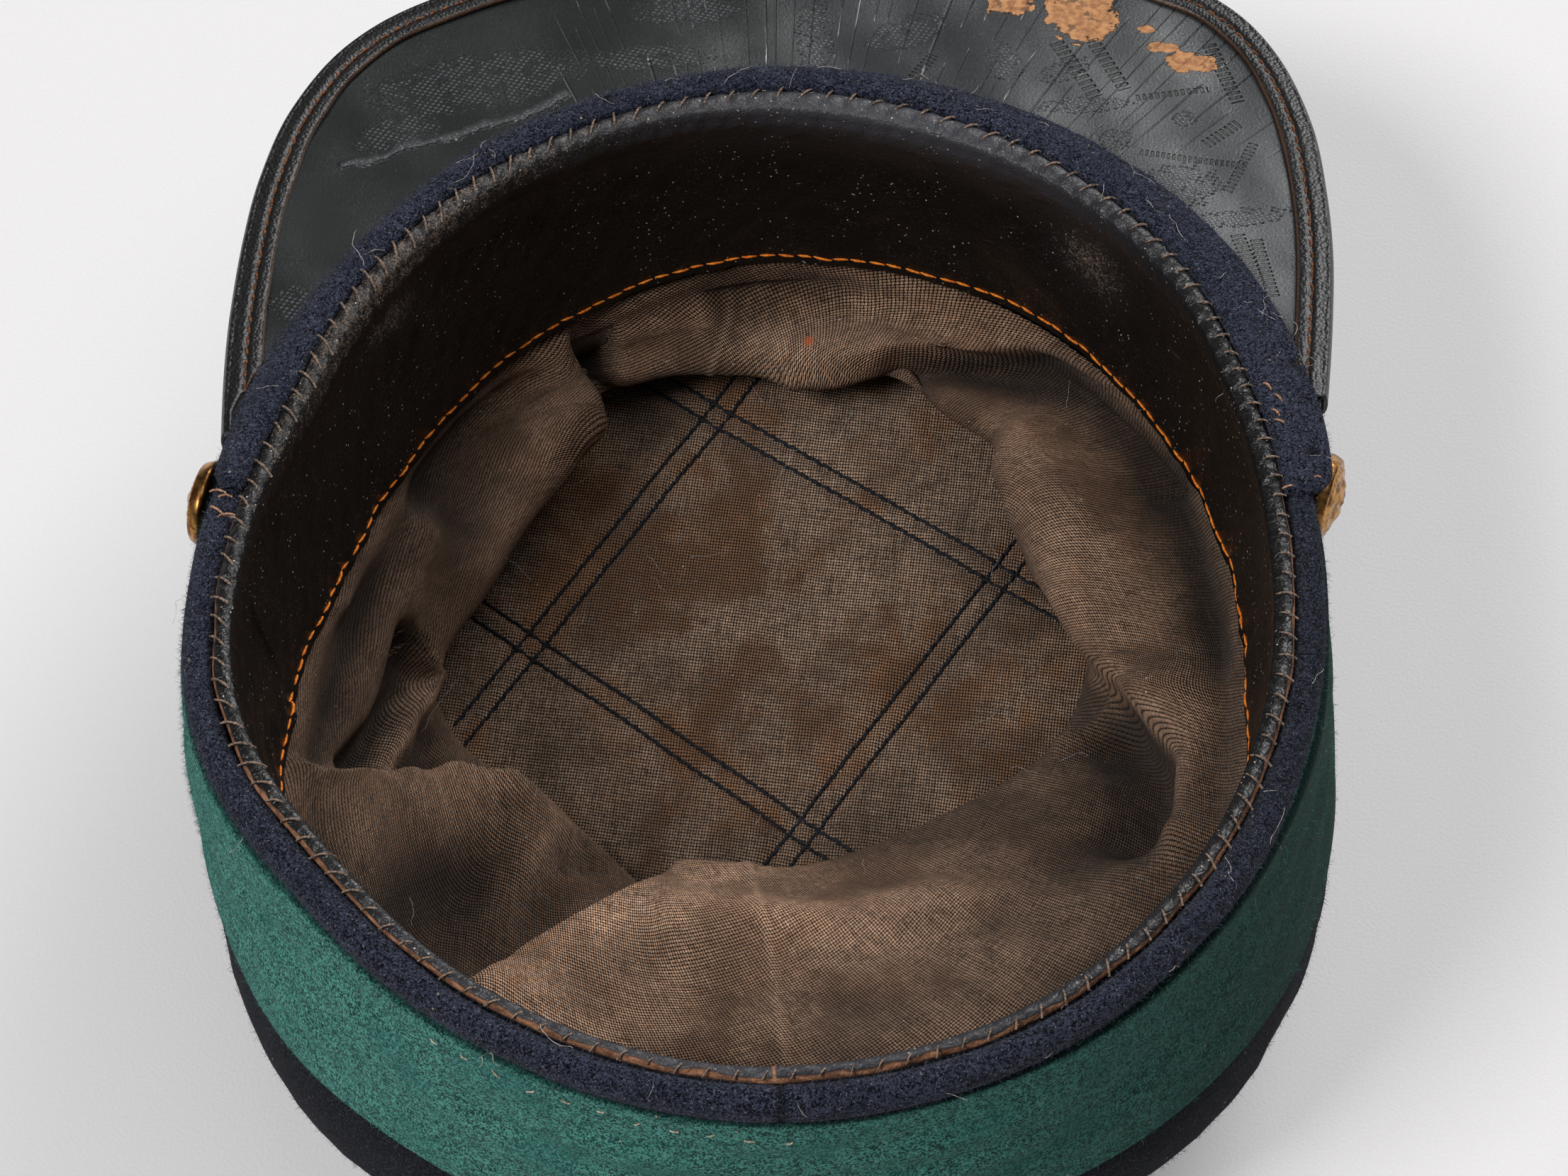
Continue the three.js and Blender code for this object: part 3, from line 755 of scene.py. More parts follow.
class Finish(Nodes):
    """A material. Lengths in it are millimetres of the object."""

    def __init__(self, name, **constants):
        self.material = bpy.data.materials.new(name)
        self.material.use_nodes = True
        super().__init__(self.material.node_tree)
        self.shader = self.tree.nodes["Principled BSDF"]
        for socket, value in constants.items():
            self.shader.inputs[socket.replace("_", " ")].default_value = value

    def place(self):
        """Object coordinates in millimetres."""
        return self.stretched(self.signal("ShaderNodeTexCoord", {}, "Object"), *PER_METRE)

    def cloth(self):
        """The piece's UV map in millimetres."""
        return self.stretched(self.signal("ShaderNodeUVMap", {}, uv_map="cloth"), *PER_METRE)

    def mask(self, name):
        return self.signal("ShaderNodeAttribute", {}, "Fac", attribute_name=name)

    def noise(self, where, size, detail=2.0, rough=0.5, warp=0.0):
        """Noise of about 0 to 1 whose lumps are about size across."""
        inputs = {"Vector": where, "Scale": 1 / size, "Detail": detail}
        inputs.update({"Roughness": rough, "Distortion": warp})
        return self.signal("ShaderNodeTexNoise", inputs)

    def cells(self, where, size, feature="F1"):
        inputs = {"Vector": where, "Scale": 1 / size}
        return self.signal("ShaderNodeTexVoronoi", inputs, feature=feature)

    def stretched(self, where, *shares):
        return self.vector_math("MULTIPLY", where, shares)

    def mix(self, share, a, b):
        inputs = {0: share, 6: a, 7: b}
        return self.signal("ShaderNodeMix", inputs, 2, data_type="RGBA", blend_type="MIX")

    def most(self, values):
        """The greatest of several signals."""
        best = 0.0
        for value in values:
            best = self.math("MAXIMUM", best, value)
        return best

    def set(self, socket, value):
        """Links a signal to a socket of the shader, or sets a plain value there."""
        if isinstance(value, Signal):
            self.tree.links.new(value.socket, self.shader.inputs[socket])
        else:
            self.shader.inputs[socket].default_value = value

    def relief(self, height, distance):
        """Bumps where a height of 1 stands the distance proud, in millimetres."""
        inputs = {"Height": height, "Distance": distance * MM}
        self.set("Normal", self.signal("ShaderNodeBump", inputs))


def wool_finish(name, deep, pale, worn, shadow, nap):
    """Fulled wool: short matted fibres, pale flecks, a nap that wears thin,
    and painted shade where its mask shade is set.
    """
    f = Finish(name, Roughness=0.95, Sheen_Weight=0.04, Sheen_Roughness=0.5,
               Specular_IOR_Level=0.05)
    where = f.place()
    felt = f.noise(where, 0.42, detail=2, rough=0.8)
    clumps = f.noise(where, 1.6, detail=2, rough=0.6)
    patches = f.noise(where, 13, detail=4, rough=0.6)
    streaks = f.noise(f.stretched(f.cloth(), 0.3, 1.0, 1.0), 0.9, detail=3, rough=0.7)
    fibres = (felt * 0.8 + clumps * 0.2 + streaks * nap).between(0.42 + nap / 2, 0.6 + nap / 2)
    colour = f.mix(fibres, dye(deep), dye(pale))
    colour = f.mix(patches.between(0.48, 0.7) * 0.5, colour, dye(worn))
    # painted shade: mixed towards the shadow colour where the mask shade is set, and the pale
    # flecks fade there
    colour = f.mix(f.mask("shade"), colour, dye(shadow))
    flecks = f.noise(where, 0.35, detail=1, rough=0.6).between(0.62, 0.72)
    colour = f.mix(flecks * (1.1 - f.mask("shade")) * 0.35, colour, dye("9c98a8"))
    bits = f.cells(where, 3.1).between(0.09, 0.05) * f.noise(where, 9).between(0.5, 0.6)
    colour = f.mix(bits * 0.7, colour, dye("b9a58c"))
    f.set("Base Color", colour)
    f.relief(felt * 0.8 + clumps * 0.4 + streaks * nap + patches * 0.6, 0.6)
    return f.material


def weave(f, u, v, pitch, loose):
    """Height of a plain weave: 0 in its holes and 1 on the crowns of its threads."""
    warp = ((u / pitch + loose) * math.pi).sin()
    weft = ((v / pitch + loose * 0.6) * math.pi).sin()
    over = (warp * weft * 3 + 0.5).clamped()
    upright, level = abs(warp), abs(weft)
    crown = upright * over + level * (1 - over)
    return crown * 0.55 + upright * level * 0.45


def cotton_finish(name, pitch, thread, gap, rust, dirt, turn, flat=False):
    """Old unbleached cotton: a plain weave with brown stains and grey dirt, turned by
    degrees. It follows the cloth, or lies flat. Painted light makes it lighter where
    its mask ridge is set, and painted shade makes it darker where its mask hollow is set."""
    f = Finish(name, Roughness=0.92, Sheen_Weight=0.05, Sheen_Roughness=0.5,
               Specular_IOR_Level=0.1)
    where = f.place()
    x, y, _ = f.parts(where if flat else f.cloth())
    cos, sin = math.cos(math.radians(turn)), math.sin(math.radians(turn))
    u, v = x * cos + y * sin, (y * cos - x * sin) * 0.85
    loose = f.noise(where, 9, detail=1) * 1.2
    threads = weave(f, u, v, pitch, loose)
    fuzz = f.noise(where, 0.4, detail=1, rough=0.7)
    along_u = f.noise(f.vector(u * 0.15, v, 0.0), pitch * 1.3, detail=0)
    along_v = f.noise(f.vector(u, v * 0.15, 7.0), pitch * 1.3, detail=0)
    slubs = along_u * 0.5 + along_v * 0.5
    cloud = f.noise(where, 24, detail=4, rough=0.62)
    spots = f.noise(where, 8, detail=4, rough=0.65)
    bright = (slubs - 0.5) * 1.2 + (fuzz - 0.5) * 1.3 + (spots - 0.5) * 1.2
    colour = f.mix((bright + 0.5).clamped(), dye(thread[0]), dye(thread[1]))
    rusty = (cloud * 0.6 + spots * 0.5).between(0.5, 0.66)
    colour = f.mix(rusty * (0.8 if flat else 0.45), colour, dye(rust))
    sooty = (f.noise(where, 17, detail=4, rough=0.62) * 0.75 + spots * 0.3).between(0.44, 0.64)
    colour = f.mix(sooty * 0.5, colour, dye(dirt))
    colour = f.mix(f.mask("seam") * 0.2, colour, dye("c8a88c"))
    open_ = (threads + (fuzz - 0.5) * 0.4).between(0.3, 0.64)
    colour = f.mix(open_, dye(gap), colour)
    specks = f.cells(where, 2.3).between(0.07, 0.04) * f.noise(where, 13, 1).between(0.6, 0.64)
    colour = f.mix(specks, colour, dye("cfc8c0"))
    colour = f.mix(f.mask("stain"), colour, dye("a5532a"))
    # painted light and shade: lighter where the mask ridge is set, darker where the mask hollow
    # is set
    wear_and_painted_light = 1.0 + f.mask("ridge") * 1.1 - f.mask("hollow") * 0.75
    f.set("Base Color", f.vector_math("MULTIPLY", colour, f.vector(wear_and_painted_light, wear_and_painted_light, wear_and_painted_light)))
    f.relief(threads + fuzz * 0.3, 0.3)
    return f.material


def leather_grain(f, where, size):
    """Pores and fine creases of black leather, of 0 to 1."""
    creases = f.cells(where, size * 3, "DISTANCE_TO_EDGE")
    return f.cells(where, size) * 0.6 + creases.between(0.0, 0.1) * 0.4


def sweat_finish():
    """Black sweatband leather: cut edge, worn roll, dust, scuffs and long scratches,
    with a painted sheen that goes with the dust.
    """
    f = Finish("sweat_leather", Specular_IOR_Level=0.4)
    where = f.place()
    u, v, _ = f.parts(f.cloth())
    grain = leather_grain(f, where, 0.5)
    swell = f.noise(where, 4, detail=4, rough=0.6)
    scuffs = f.noise(where, 1.5, detail=6, rough=0.8, warp=0.8)
    fine = f.noise(where, 0.35, detail=3, rough=0.7)
    dust = fine.between(0.64, 0.7) * f.noise(where, 8, detail=3).between(0.36, 0.6)
    streaks = f.noise(f.vector(u * 0.12, v * 0.9, 0.0), 1.6, detail=5, rough=0.75)
    upright = f.noise(f.vector(u * 1.3, v * 0.08, 3.0), 1.5, detail=4, rough=0.7)
    scratch = streaks.between(0.64, 0.72) * 0.35 + upright.between(0.66, 0.74) * 0.25
    worn, dust_and_painted_sheen = f.mask("worn"), f.mask("dust_and_painted_sheen")
    wear_and_painted_light = (scuffs * 0.5 + fine * 0.6 + worn * 0.16).between(0.68, 0.74)
    wear_and_painted_light = wear_and_painted_light * worn.between(0.05, 0.4)
    # dust and painted sheen: grey where that mask is set
    colour = f.mix(worn * 0.2 + dust_and_painted_sheen * 0.75, dye("070707"), dye("46464c"))
    colour = f.mix(dust * 0.6 + scratch * 0.5, colour, dye("8f8a84"))
    colour = f.mix(wear_and_painted_light * 0.75, colour, dye("7d6c5e"))
    grit = f.cells(where, 1.3).between(0.14, 0.09) * f.noise(where, 7).between(0.45, 0.55)
    colour = f.mix(grit, colour, dye("b5ada6"))
    raw = f.noise(f.vector(u * 0.5, v, 0.0), 0.9, detail=4, rough=0.7)
    cut = f.mix(raw.between(0.35, 0.7), dye("6e4a35"), dye("c08a68"))
    colour = f.mix(f.mask("cut"), colour, cut)
    f.set("Base Color", colour)
    rough = 0.22 + dust_and_painted_sheen * 0.14 + wear_and_painted_light * 0.3 + dust * 0.2 + scuffs * 0.12 + grain * 0.08
    f.set("Roughness", rough + f.mask("cut") * 0.4)
    f.relief(grain * 0.5 + swell * 1.6 + scuffs * worn, 0.22)
    return f.material


def binding_finish():
    """Pebbled black leather round the peak, browned at its inner edge."""
    f = Finish("binding_leather", Specular_IOR_Level=0.5)
    where = f.place()
    pebbles = f.cells(where, 0.6)
    swell = f.noise(where, 6, detail=4)
    scuffs = f.noise(where, 1.2, detail=6, rough=0.75)
    worn = (scuffs * 0.6 + swell * 0.5).between(0.56, 0.74)
    colour = f.mix(worn * 0.15, dye("0b0b0c"), dye("2e2e2f"))
    colour = f.mix(f.mask("cut") * (scuffs * 0.8 + 0.3).clamped(), colour, dye("5e4331"))
    f.set("Base Color", colour)
    f.set("Roughness", 0.36 + worn * 0.12 + pebbles * 0.08)
    f.relief(0.8 - pebbles + scuffs * 0.1, 0.12)
    return f.material


# Marks on the peak's underside, in the rim's plane: to the left of its centre and back.
PEAK_FLAKES = named_rows(
    "across back long wide",
    (-43.5, -123, 4.2, 3.4),
    (-55.5, -121, 6.2, 8.0),
    (-73.5, -108.5, 4.6, 2.6),
    (-69, -112, 2.6, 1.4),
    (-66.5, -116.5, 1.6, 1.0),
)
PEAK_DENTED_ROWS = named_rows(
    "start end pitch wide",
    ((-64, -100), (-76, -102), 1.1, 0.5),
    ((-77, -113), (-81, -99), 1.2, 0.9),
    ((-75, -89), (-81, -94), 1.0, 0.8),
    ((-78, -78), (-83, -89), 0.9, 0.6),
    ((-64, -87), (-81, -84), 0.9, 0.5),
    ((-79, -68), (-82, -56), 0.9, 0.9),
    ((-82, -67), (-84, -54), 0.9, 0.8),
    ((-26, -104), (-30, -110), 0.9, 0.8),
    ((-51, -113), (-57, -100), 1.3, 1.0),
    ((-57, -114), (-62, -102), 1.3, 0.9),
)
PEAK_PRINTS = named_rows(
    "across back long wide turn",
    (48, -104, 19, 7, 15),
    (60, -92, 8, 4, 30),
    (18, -109, 12, 3, 5),
    (12, -121, 10, 4, 5),
    (-10, -115, 3.5, 10, 0),
    (-26, -116, 8, 4, 25),
    (-42, -108, 3, 5, 10),
    (-52, -106, 5, 2.5, 30),
    (-55, -98, 9, 1.8, 5),
    (-60, -90, 3, 2.5, 0),
    (-70, -79, 7, 5.5, 20),
    (-80, -72, 9, 2.2, 10),
    (-72, -95, 2.2, 2, 0),
    (74, -52, 5, 4, 0),
)
PEAK_RIDGE = ((69, -84), (62, -86), (59, -89), (51, -91), (45, -94), (39, -96), (32, -101))


def in_oval(f, u, v, row, ragged, edge):
    """1 inside a ragged oval of the peak, 0 outside."""
    turn = math.radians(row.get("turn", 0))
    x, y = u - row["across"], v - row["back"]
    cos, sin = math.cos(turn), math.sin(turn)
    along = (x * cos + y * sin) / row["long"]
    over = (y * cos - x * sin) / row["wide"]
    return (along * along + over * over + ragged).between(1.0, 1.0 - edge)


def on_line(u, v, start, end):
    """Distance along a straight line and off it, on the peak."""
    dx, dy = end[0] - start[0], end[1] - start[1]
    length = math.hypot(dx, dy)
    along = ((u - start[0]) * dx + (v - start[1]) * dy) / length
    off = ((v - start[1]) * dx - (u - start[0]) * dy) / length
    return along, off, length


def peak_dents(f, u, v):
    """Rows of small dents that a coarse cloth has pressed in."""
    rows = []
    for row in PEAK_DENTED_ROWS:
        along, off, length = on_line(u, v, row["start"], row["end"])
        dash = (along * (TURN / row["pitch"])).sin().between(-0.2, 0.4)
        held = along.between(-0.2, 0.1) * along.between(length + 0.2, length - 0.1)
        rows.append(dash * held * abs(off).between(row["wide"] * 1.4, row["wide"]))
    return f.most(rows)


def peak_ridge(f, u, v, bend):
    """The raised scar."""
    parts = []
    for start, end in zip(PEAK_RIDGE[:-1], PEAK_RIDGE[1:]):
        along, off, length = on_line(u, v, start, end)
        held = along.between(-0.5, 0.2) * along.between(length + 0.5, length - 0.2)
        parts.append(abs(off + bend).between(1.1, 0.2) * held)
    return f.most(parts)


def peak_cracks(f, u, v):
    """Fine straight cracks that fan out from the rim."""
    fan = f.math("ARCTAN2", u + 3, v + 20)
    rays = fan * 34 + f.noise(f.vector(fan * 6, 0.0, 0.0), 1.0, detail=1) * 5
    cracks = abs(f.math("FRACT", rays) - 0.5).between(0.06, 0.02)
    reach = f.noise(f.vector(fan * 34, v * 0.05, 7.0), 1.0, detail=1).between(0.46, 0.52)
    return cracks * reach * v.between(-84, -97) * u.between(38, 20)


def peak_finish():
    """Patent leather that has crazed, with prints of cloth, dents and bare flakes."""
    f = Finish("peak_leather", Specular_IOR_Level=0.65)
    where = f.cloth()
    u, v, _ = f.parts(where)
    ragged = (f.noise(where, 2.6, detail=4, rough=0.6) - 0.5) * 3.2
    bare = f.most(in_oval(f, u, v, row, ragged, 0.12) for row in PEAK_FLAKES)
    prints = f.most(in_oval(f, u, v, row, ragged * 0.8, 0.4) for row in PEAK_PRINTS)
    grid = ((u + v * 0.5) / 0.24).sin() * ((v * 1.1 - u * 0.35) / 0.2).sin()
    woven = grid.between(0.0, 0.35)
    prints = prints * woven * f.noise(where, 2.2, detail=3).between(0.38, 0.48)
    dents = peak_dents(f, u, v)
    ridge = peak_ridge(f, u, v, (f.noise(where, 3) - 0.5) * 2) * (woven * 0.6 + 0.4)
    cracks = peak_cracks(f, u, v)
    fine = f.noise(where, 0.5, detail=4, rough=0.7)
    swell = f.noise(where, 9, detail=1)
    dulled = f.noise(where, 20, detail=3).between(0.4, 0.65)
    colour = f.mix(dulled, dye("1e2020"), dye("242626"))
    # painted reflection: lighter grey towards the right
    colour = f.mix(u.between(30, -60) * 0.6, colour, dye("34373a"))
    colour = f.mix(prints * 0.35 + ridge * 0.5, colour, dye("7c7f82"))
    colour = f.mix(cracks * 0.8 + dents * 0.8, colour, dye("060707"))
    hide = f.mix(f.noise(where, 1.3, detail=4).between(0.35, 0.65), dye("b98452"), dye("8f5c35"))
    hide = f.mix(f.noise(where, 2.4, detail=3).between(0.6, 0.66) * 0.7, hide, dye("4a3525"))
    rind = f.math("MULTIPLY", bare, 1 - bare) * 4
    colour = f.mix(bare, colour, hide)
    colour = f.mix(rind.clamped() * 0.8, colour, dye("2a1c12"))
    specks = f.cells(where, 2.7).between(0.06, 0.03) * f.noise(where, 15).between(0.5, 0.6)
    colour = f.mix(specks * 0.5, colour, dye("b9b9b5"))
    f.set("Base Color", colour)
    rough = 0.21 + dulled * 0.02 + fine * 0.12 - prints * 0.05
    f.set("Roughness", rough + bare * 0.5)
    height = swell * 0.4 + prints * 2.8 + ridge * 4.0 - dents * 2.6 - cracks * 0.4 - bare * 1.2
    f.relief(height + fine * 0.15, 0.4)
    return f.material


def thread_finish(name, colour, shade):
    """Twisted cotton thread."""
    f = Finish(name, Roughness=0.75, Specular_IOR_Level=0.25)
    strand = f.noise(f.place(), 0.45, detail=3)
    f.set("Base Color", f.mix(strand.between(0.35, 0.65), dye(shade), dye(colour)))
    f.relief(strand, 0.12)
    return f.material


def fibre_finish(name, deep, pale):
    """Single fibres and hairs."""
    f = Finish(name, Roughness=0.8, Specular_IOR_Level=0.2)
    tone = f.noise(f.place(), 0.8, detail=2).between(0.35, 0.65)
    f.set("Base Color", f.mix(tone, dye(deep), dye(pale)))
    return f.material


def brass_finish():
    """Brass that has tarnished, with painted shade where it is low: on its back and shank."""
    f = Finish("aged_brass", Metallic=1.0)
    where = f.place()
    tarnish = f.noise(where, 1.6, detail=5, rough=0.65)
    low = f.mask("low")
    colour = f.mix(tarnish.between(0.4, 0.62), dye("b98a4e"), dye("6b4626"))
    # painted shade: darker where the mask low is set
    f.set("Base Color", f.mix(low * 0.7, colour, dye("3b2510")))
    f.set("Roughness", tarnish * 0.3 + 0.17)
    f.relief(tarnish, 0.05)
    return f.material


# painted light: how strongly the floor glows
FLOOR_GLOW = 0.215


def floor_finish():
    """A pale board with painted light: it glows a little, which lifts its shadows and
    lights the hat from below.
    """
    f = Finish("pale_floor", Roughness=0.85, Specular_IOR_Level=0.2)
    grit = f.noise(f.place(), 0.6, detail=3)
    f.set("Base Color", f.mix(grit, dye("c6c4c5"), dye("cccacb")))
    f.set("Emission Color", (0.97, 0.96, 0.96, 1.0))
    f.set("Emission Strength", FLOOR_GLOW)
    f.relief(grit, 0.1)
    return f.material


NAVY = wool_finish("navy_wool", "06070c", "3c4152", "191c28", "08090c", 0.05)
GREEN = wool_finish("green_wool", "0d3834", "5da699", "2a6c65", "06201b", 0.12)
LINING = cotton_finish("lining_cotton", 0.5, ("685140", "c8a286"), "080503", "80593f",
                       "42342a", 24)
FLAT_LINING = cotton_finish("flat_cotton", 0.5, ("705b4b", "d2b196"), "100a07", "a3704a",
                            "3f352d", -8, flat=True)
SWEAT = sweat_finish()
BINDING = binding_finish()
PEAK = peak_finish()
ORANGE = thread_finish("orange_thread", "ff9a34", "d4661a")
BLACK = thread_finish("black_thread", "232830", "08090c")
GREY_BROWN = thread_finish("grey_brown_thread", "967f6f", "4c4038")
BROWN = thread_finish("brown_thread", "8a5430", "3a2114")
TAN = thread_finish("tan_thread", "c79a7a", "80583f")
PALE = thread_finish("pale_thread", "d0c4b0", "9a8f7c")
NAVY_FIBRE = fibre_finish("navy_fibre", "181b26", "525769")
GREEN_FIBRE = fibre_finish("green_fibre", "164239", "559a88")
GREY_HAIR = fibre_finish("grey_hair", "8f8b86", "dcd8d2")
BRASS = brass_finish()

# ------------------------------------------------------------------------- the crown

COLUMNS = 720


def angles_round(count=COLUMNS):
    """Angles at equal steps all round the hat."""
    return np.linspace(0, TURN, count + 1)[:-1]


def crown_sheet(angle, t):
    """Outer face of the crown's soft wall, t from 0 at the band to 1 at the flat top."""
    start = BASE_DEPTH + SEWN_GAP
    top = rim_point(angle, base_radius(angle, start), start)
    above = rim_point(angle, base_radius(angle, start - 1), start - 1)
    out = outward(angle)
    seam = out * TIP_RADIUS
    length = np.linalg.norm(top - seam, axis=-1)[..., None]
    down = unit(top - above) * 0.36 * length
    down = down + out * column(WALLS, "belly", angle)[..., None]
    inwards = unit(out + np.array((0, 0, 0.08))) * 0.42 * length
    b, c = top + down, seam + inwards
    t = t[..., None]
    return (1 - t)**3 * top + 3 * (1 - t)**2 * t * b + 3 * (1 - t) * t**2 * c + t**3 * seam


def crown_side():
    """The soft wall between the top and the bands, with painted shade all over it."""
    angle, t = np.meshgrid(angles_round(540), np.linspace(0, 1, 52), indexing="ij")
    sheet = crown_sheet(angle, t)
    normals = grid_normals(sheet)
    fade = np.sin(math.pi * t)[..., None]
    swell = ripple(sheet * (1, 1, 2.2), 34, 3) * 0.9 + ripple(sheet, 12, 4) * 0.2
    sheet = sheet + normals * np.abs(swell)[..., None] * fade
    rings = shell(sheet, CROWN_THICKNESS)
    masks = {"nap": np.clip(rings[..., 2] / 2.5 - 1, 0, 1)}
    # painted shade: the whole wall is mixed three quarters of the way to the wool's shadow
    # colour
    masks["shade"] = 0.75 + 0 * masks["nap"]
    return body("crown_side_cloth", rings, True, NAVY, masks)


def crown_tip():
    """The round flat top, on which the hat lies."""
    edge = TIP_RADIUS - SEWN_GAP
    profile = [(0.02, 0), (edge * 0.5, 0), (edge - 1.5, 0), (edge - 0.4, 0.3), (edge, 0.9)]
    profile += [(edge, TIP_THICKNESS - 0.8), (edge - 0.8, TIP_THICKNESS)]
    profile += [(edge * 0.5, TIP_THICKNESS), (0.02, TIP_THICKNESS)]
    radius, height = np.array(profile).T
    plan = polar(angles_round(360)[:, None], radius)
    return body("crown_tip_cloth", raised(plan, height), True, NAVY)


# -------------------------------------------------------------------- the two bands


def base_band():
    """The navy ring, with its rolled edge at the rim, and painted shade on the roll
    on its right side and in the slit at the back.
    """
    a = angles_round(960)
    rim = column(WALLS, "rim", a)
    slit = near_angle(a, 92.4, 0.3)
    lift = 0.25 + wander(a, 9, 11) * 0.2 + wander(a, 60, 13) * 0.08 - 0.4 * slit
    width = 2.55 + wander(a, 14, 12) * 0.15 - 0.5 * slit
    inner = [(base_radius(a, d) - BASE_THICKNESS, d) for d in np.linspace(BASE_DEPTH, 4.5, 8)]
    roll = []
    for turn in np.linspace(math.pi, -0.9, 24):
        depth = ROLL_DOWN - (ROLL_DOWN + lift) * math.sin(turn)
        roll.append((rim + ROLL_IN + width * math.cos(turn), depth))
    outer = [(base_radius(a, COLOUR_TOP) - 0.3, COLOUR_TOP)]
    outer += [(base_radius(a, d), d) for d in np.linspace(10, BASE_DEPTH, 6)]
    rings = rim_rings(a, inner + roll + outer)
    rows = len(inner), len(roll), len(outer)
    nap = np.repeat((0.0, 1.0, 0.0), rows)[None] + 0 * a[:, None]
    # painted shade on the roll: on the right side and in the slit at the back
    shade = np.maximum(slit, 0.45 * near_angle(a, 162, 34))[:, None] * nap
    return body("base_band_cloth", rings, True, NAVY, {"nap": nap, "shade": shade})


def colour_face(angle, depth):
    """Radius of the colour band's outer face, with its creases."""
    flat = np.stack([angle * 90, depth + 0 * angle], -1)
    radius = band_radius(angle, depth)
    down = np.clip((depth - COLOUR_TOP) / (BAND_DEPTH - COLOUR_TOP), 0, 1)
    creases = ripple(flat * (0.25, 1), 11, 21) * 0.35 + ripple(flat, 40, 22) * 0.5
    return radius + creases * (0.25 + 0.75 * np.sin(math.pi * down)) - 0.2


def colour_band():
    """The broad green band, with painted shade along its top, where it meets the navy roll,
    and on its right side.
    """
    a = angles_round()
    top, low = COLOUR_TOP, BAND_DEPTH
    sections = [(band_radius(a, d) - COLOUR_THICKNESS, d) for d in np.linspace(top, low, 6)]
    sections.append((colour_face(a, low) - 0.45, low))
    backs = len(sections)
    for depth in np.linspace(low - 0.5, top + 0.7, 40):
        sections.append((colour_face(a, depth), depth))
    sections.append((colour_face(a, top + 0.2) - 0.25, top + 0.2))
    sections.append((colour_face(a, top) - 0.8, top))
    nap = np.ones((len(a), len(sections)))
    nap[:, :backs] = 0
    depths = np.array([depth for _, depth in sections])
    # painted shade: along the top edge under the navy roll, and on the right side, where fewer
    # fibres stand too
    shade = np.clip((COLOUR_TOP + 0.9 - depths) / 0.9, 0, 1)[None] * nap * 0.8
    right = near_angle(a, 160, 54)[:, None]
    shade = shade + 0.9 * right * nap
    nap = nap * (1 - 0.75 * right)
    masks = {"nap": nap, "shade": shade.clip(0, 1)}
    return body("colour_band_cloth", rim_rings(a, sections), True, GREEN, masks)


# ------------------------------------------------------------------------- the linings

# The corners of the square that the quilting makes on the flat lining.
QUILT_CORNERS = {"front": (8.4, -41.3), "left": (40.2, 5.9), "right": (-41.6, -8.1),
                 "back": (-7.0, 42.0)}
QUILT_SIDES = (("front", "left"), ("right", "back"), ("front", "right"), ("left", "back"))
QUILT_GAP = 3.7


def quilt_lines():
    """Ends of the eight lines of quilting on the flat lining."""
    lines = []
    for first, second in QUILT_SIDES:
        a, b = np.array(QUILT_CORNERS[first]), np.array(QUILT_CORNERS[second])
        aim = (b - a) / np.linalg.norm(b - a)
        beside = np.array((-aim[1], aim[0])) * QUILT_GAP / 2
        for side in (-1, 1):
            foot = a + side * beside
            foot = foot - aim * (foot @ aim)
            reach = math.sqrt((TIP_LINING_RADIUS - 2.5)**2 - foot @ foot)
            lines.append((foot - aim * reach, foot + aim * reach))
    return lines


def tip_lining_height(plan):
    """Height of the flat lining's face, drawn down along its quilting."""
    height = TIP_LINING_TOP + ripple(plan, 30, 41) * 0.25 + ripple(plan, 9, 42) * 0.06
    for start, end in quilt_lines():
        gap, _ = nearest(plan, np.array((start, end)))
        height = height - 0.55 * np.exp(-(gap / 1.1)**2)
    return height


def tip_lining():
    """The flat lining, with painted shade towards the back. It is lighter towards its
    left and right edges.
    """
    edge = TIP_LINING_RADIUS
    radius = np.concatenate([np.linspace(0.05, edge - 0.6, 110), [edge, edge, 0.05]])
    angle = angles_round(480)[:, None]
    plan = polar(angle, radius)
    height = tip_lining_height(plan)
    height[:, -3] -= 0.3
    height[:, -2:] = TIP_LINING_BOTTOM
    nap = np.ones(height.shape)
    nap[:, -3:] = 0
    outer = (radius / edge)**2
    # painted shade towards the back; the mask ridge makes it lighter towards the left and right
    # edges
    masks = {"nap": nap, "hollow": rises(angle, (0.5, 84, 62)) * outer,
             "ridge": rises(angle, (0.16, 0, 50), (0.1, 180, 50)) * outer}
    chart = closing(looped(plan))
    return body("tip_lining_cloth", raised(plan, height), True, FLAT_LINING, masks, chart)


def lining_rows(angle, t):
    """The wall lining's visible face, t from 0 at the sweatband to 1 at its foot."""
    start = SWEAT_DEPTH + SEWN_GAP + LINING_DROP
    top = rim_point(angle, column(WALLS, "sweat", angle) + SWEAT_THICKNESS, start)
    out = outward(angle)
    crest = out * column(CRESTS, "crest", angle)[..., None]
    crest = crest + UP * column(CRESTS, "height", angle)[..., None]
    foot = out * (TIP_LINING_RADIUS + 1.6) + UP * (TIP_LINING_TOP + 0.5)
    slope = crest - top
    square = unit(out * slope[..., 2:] - UP * (slope * out).sum(-1)[..., None])
    middle = (top + crest) / 2 - square * column(CRESTS, "slack", angle)[..., None]
    turn = foot + (crest - foot) * 0.45 + out
    knots = [2 * top - middle, top, middle, crest, turn, foot, 2 * foot - turn]
    span = np.minimum(np.floor(t * 4), 3)
    sheet = np.zeros(top.shape)
    for k in range(4):
        part = curve_point(knots[k:k + 4], (t * 4 - span)[..., None])
        sheet = np.where((span == k)[..., None], part, sheet)
    return sheet


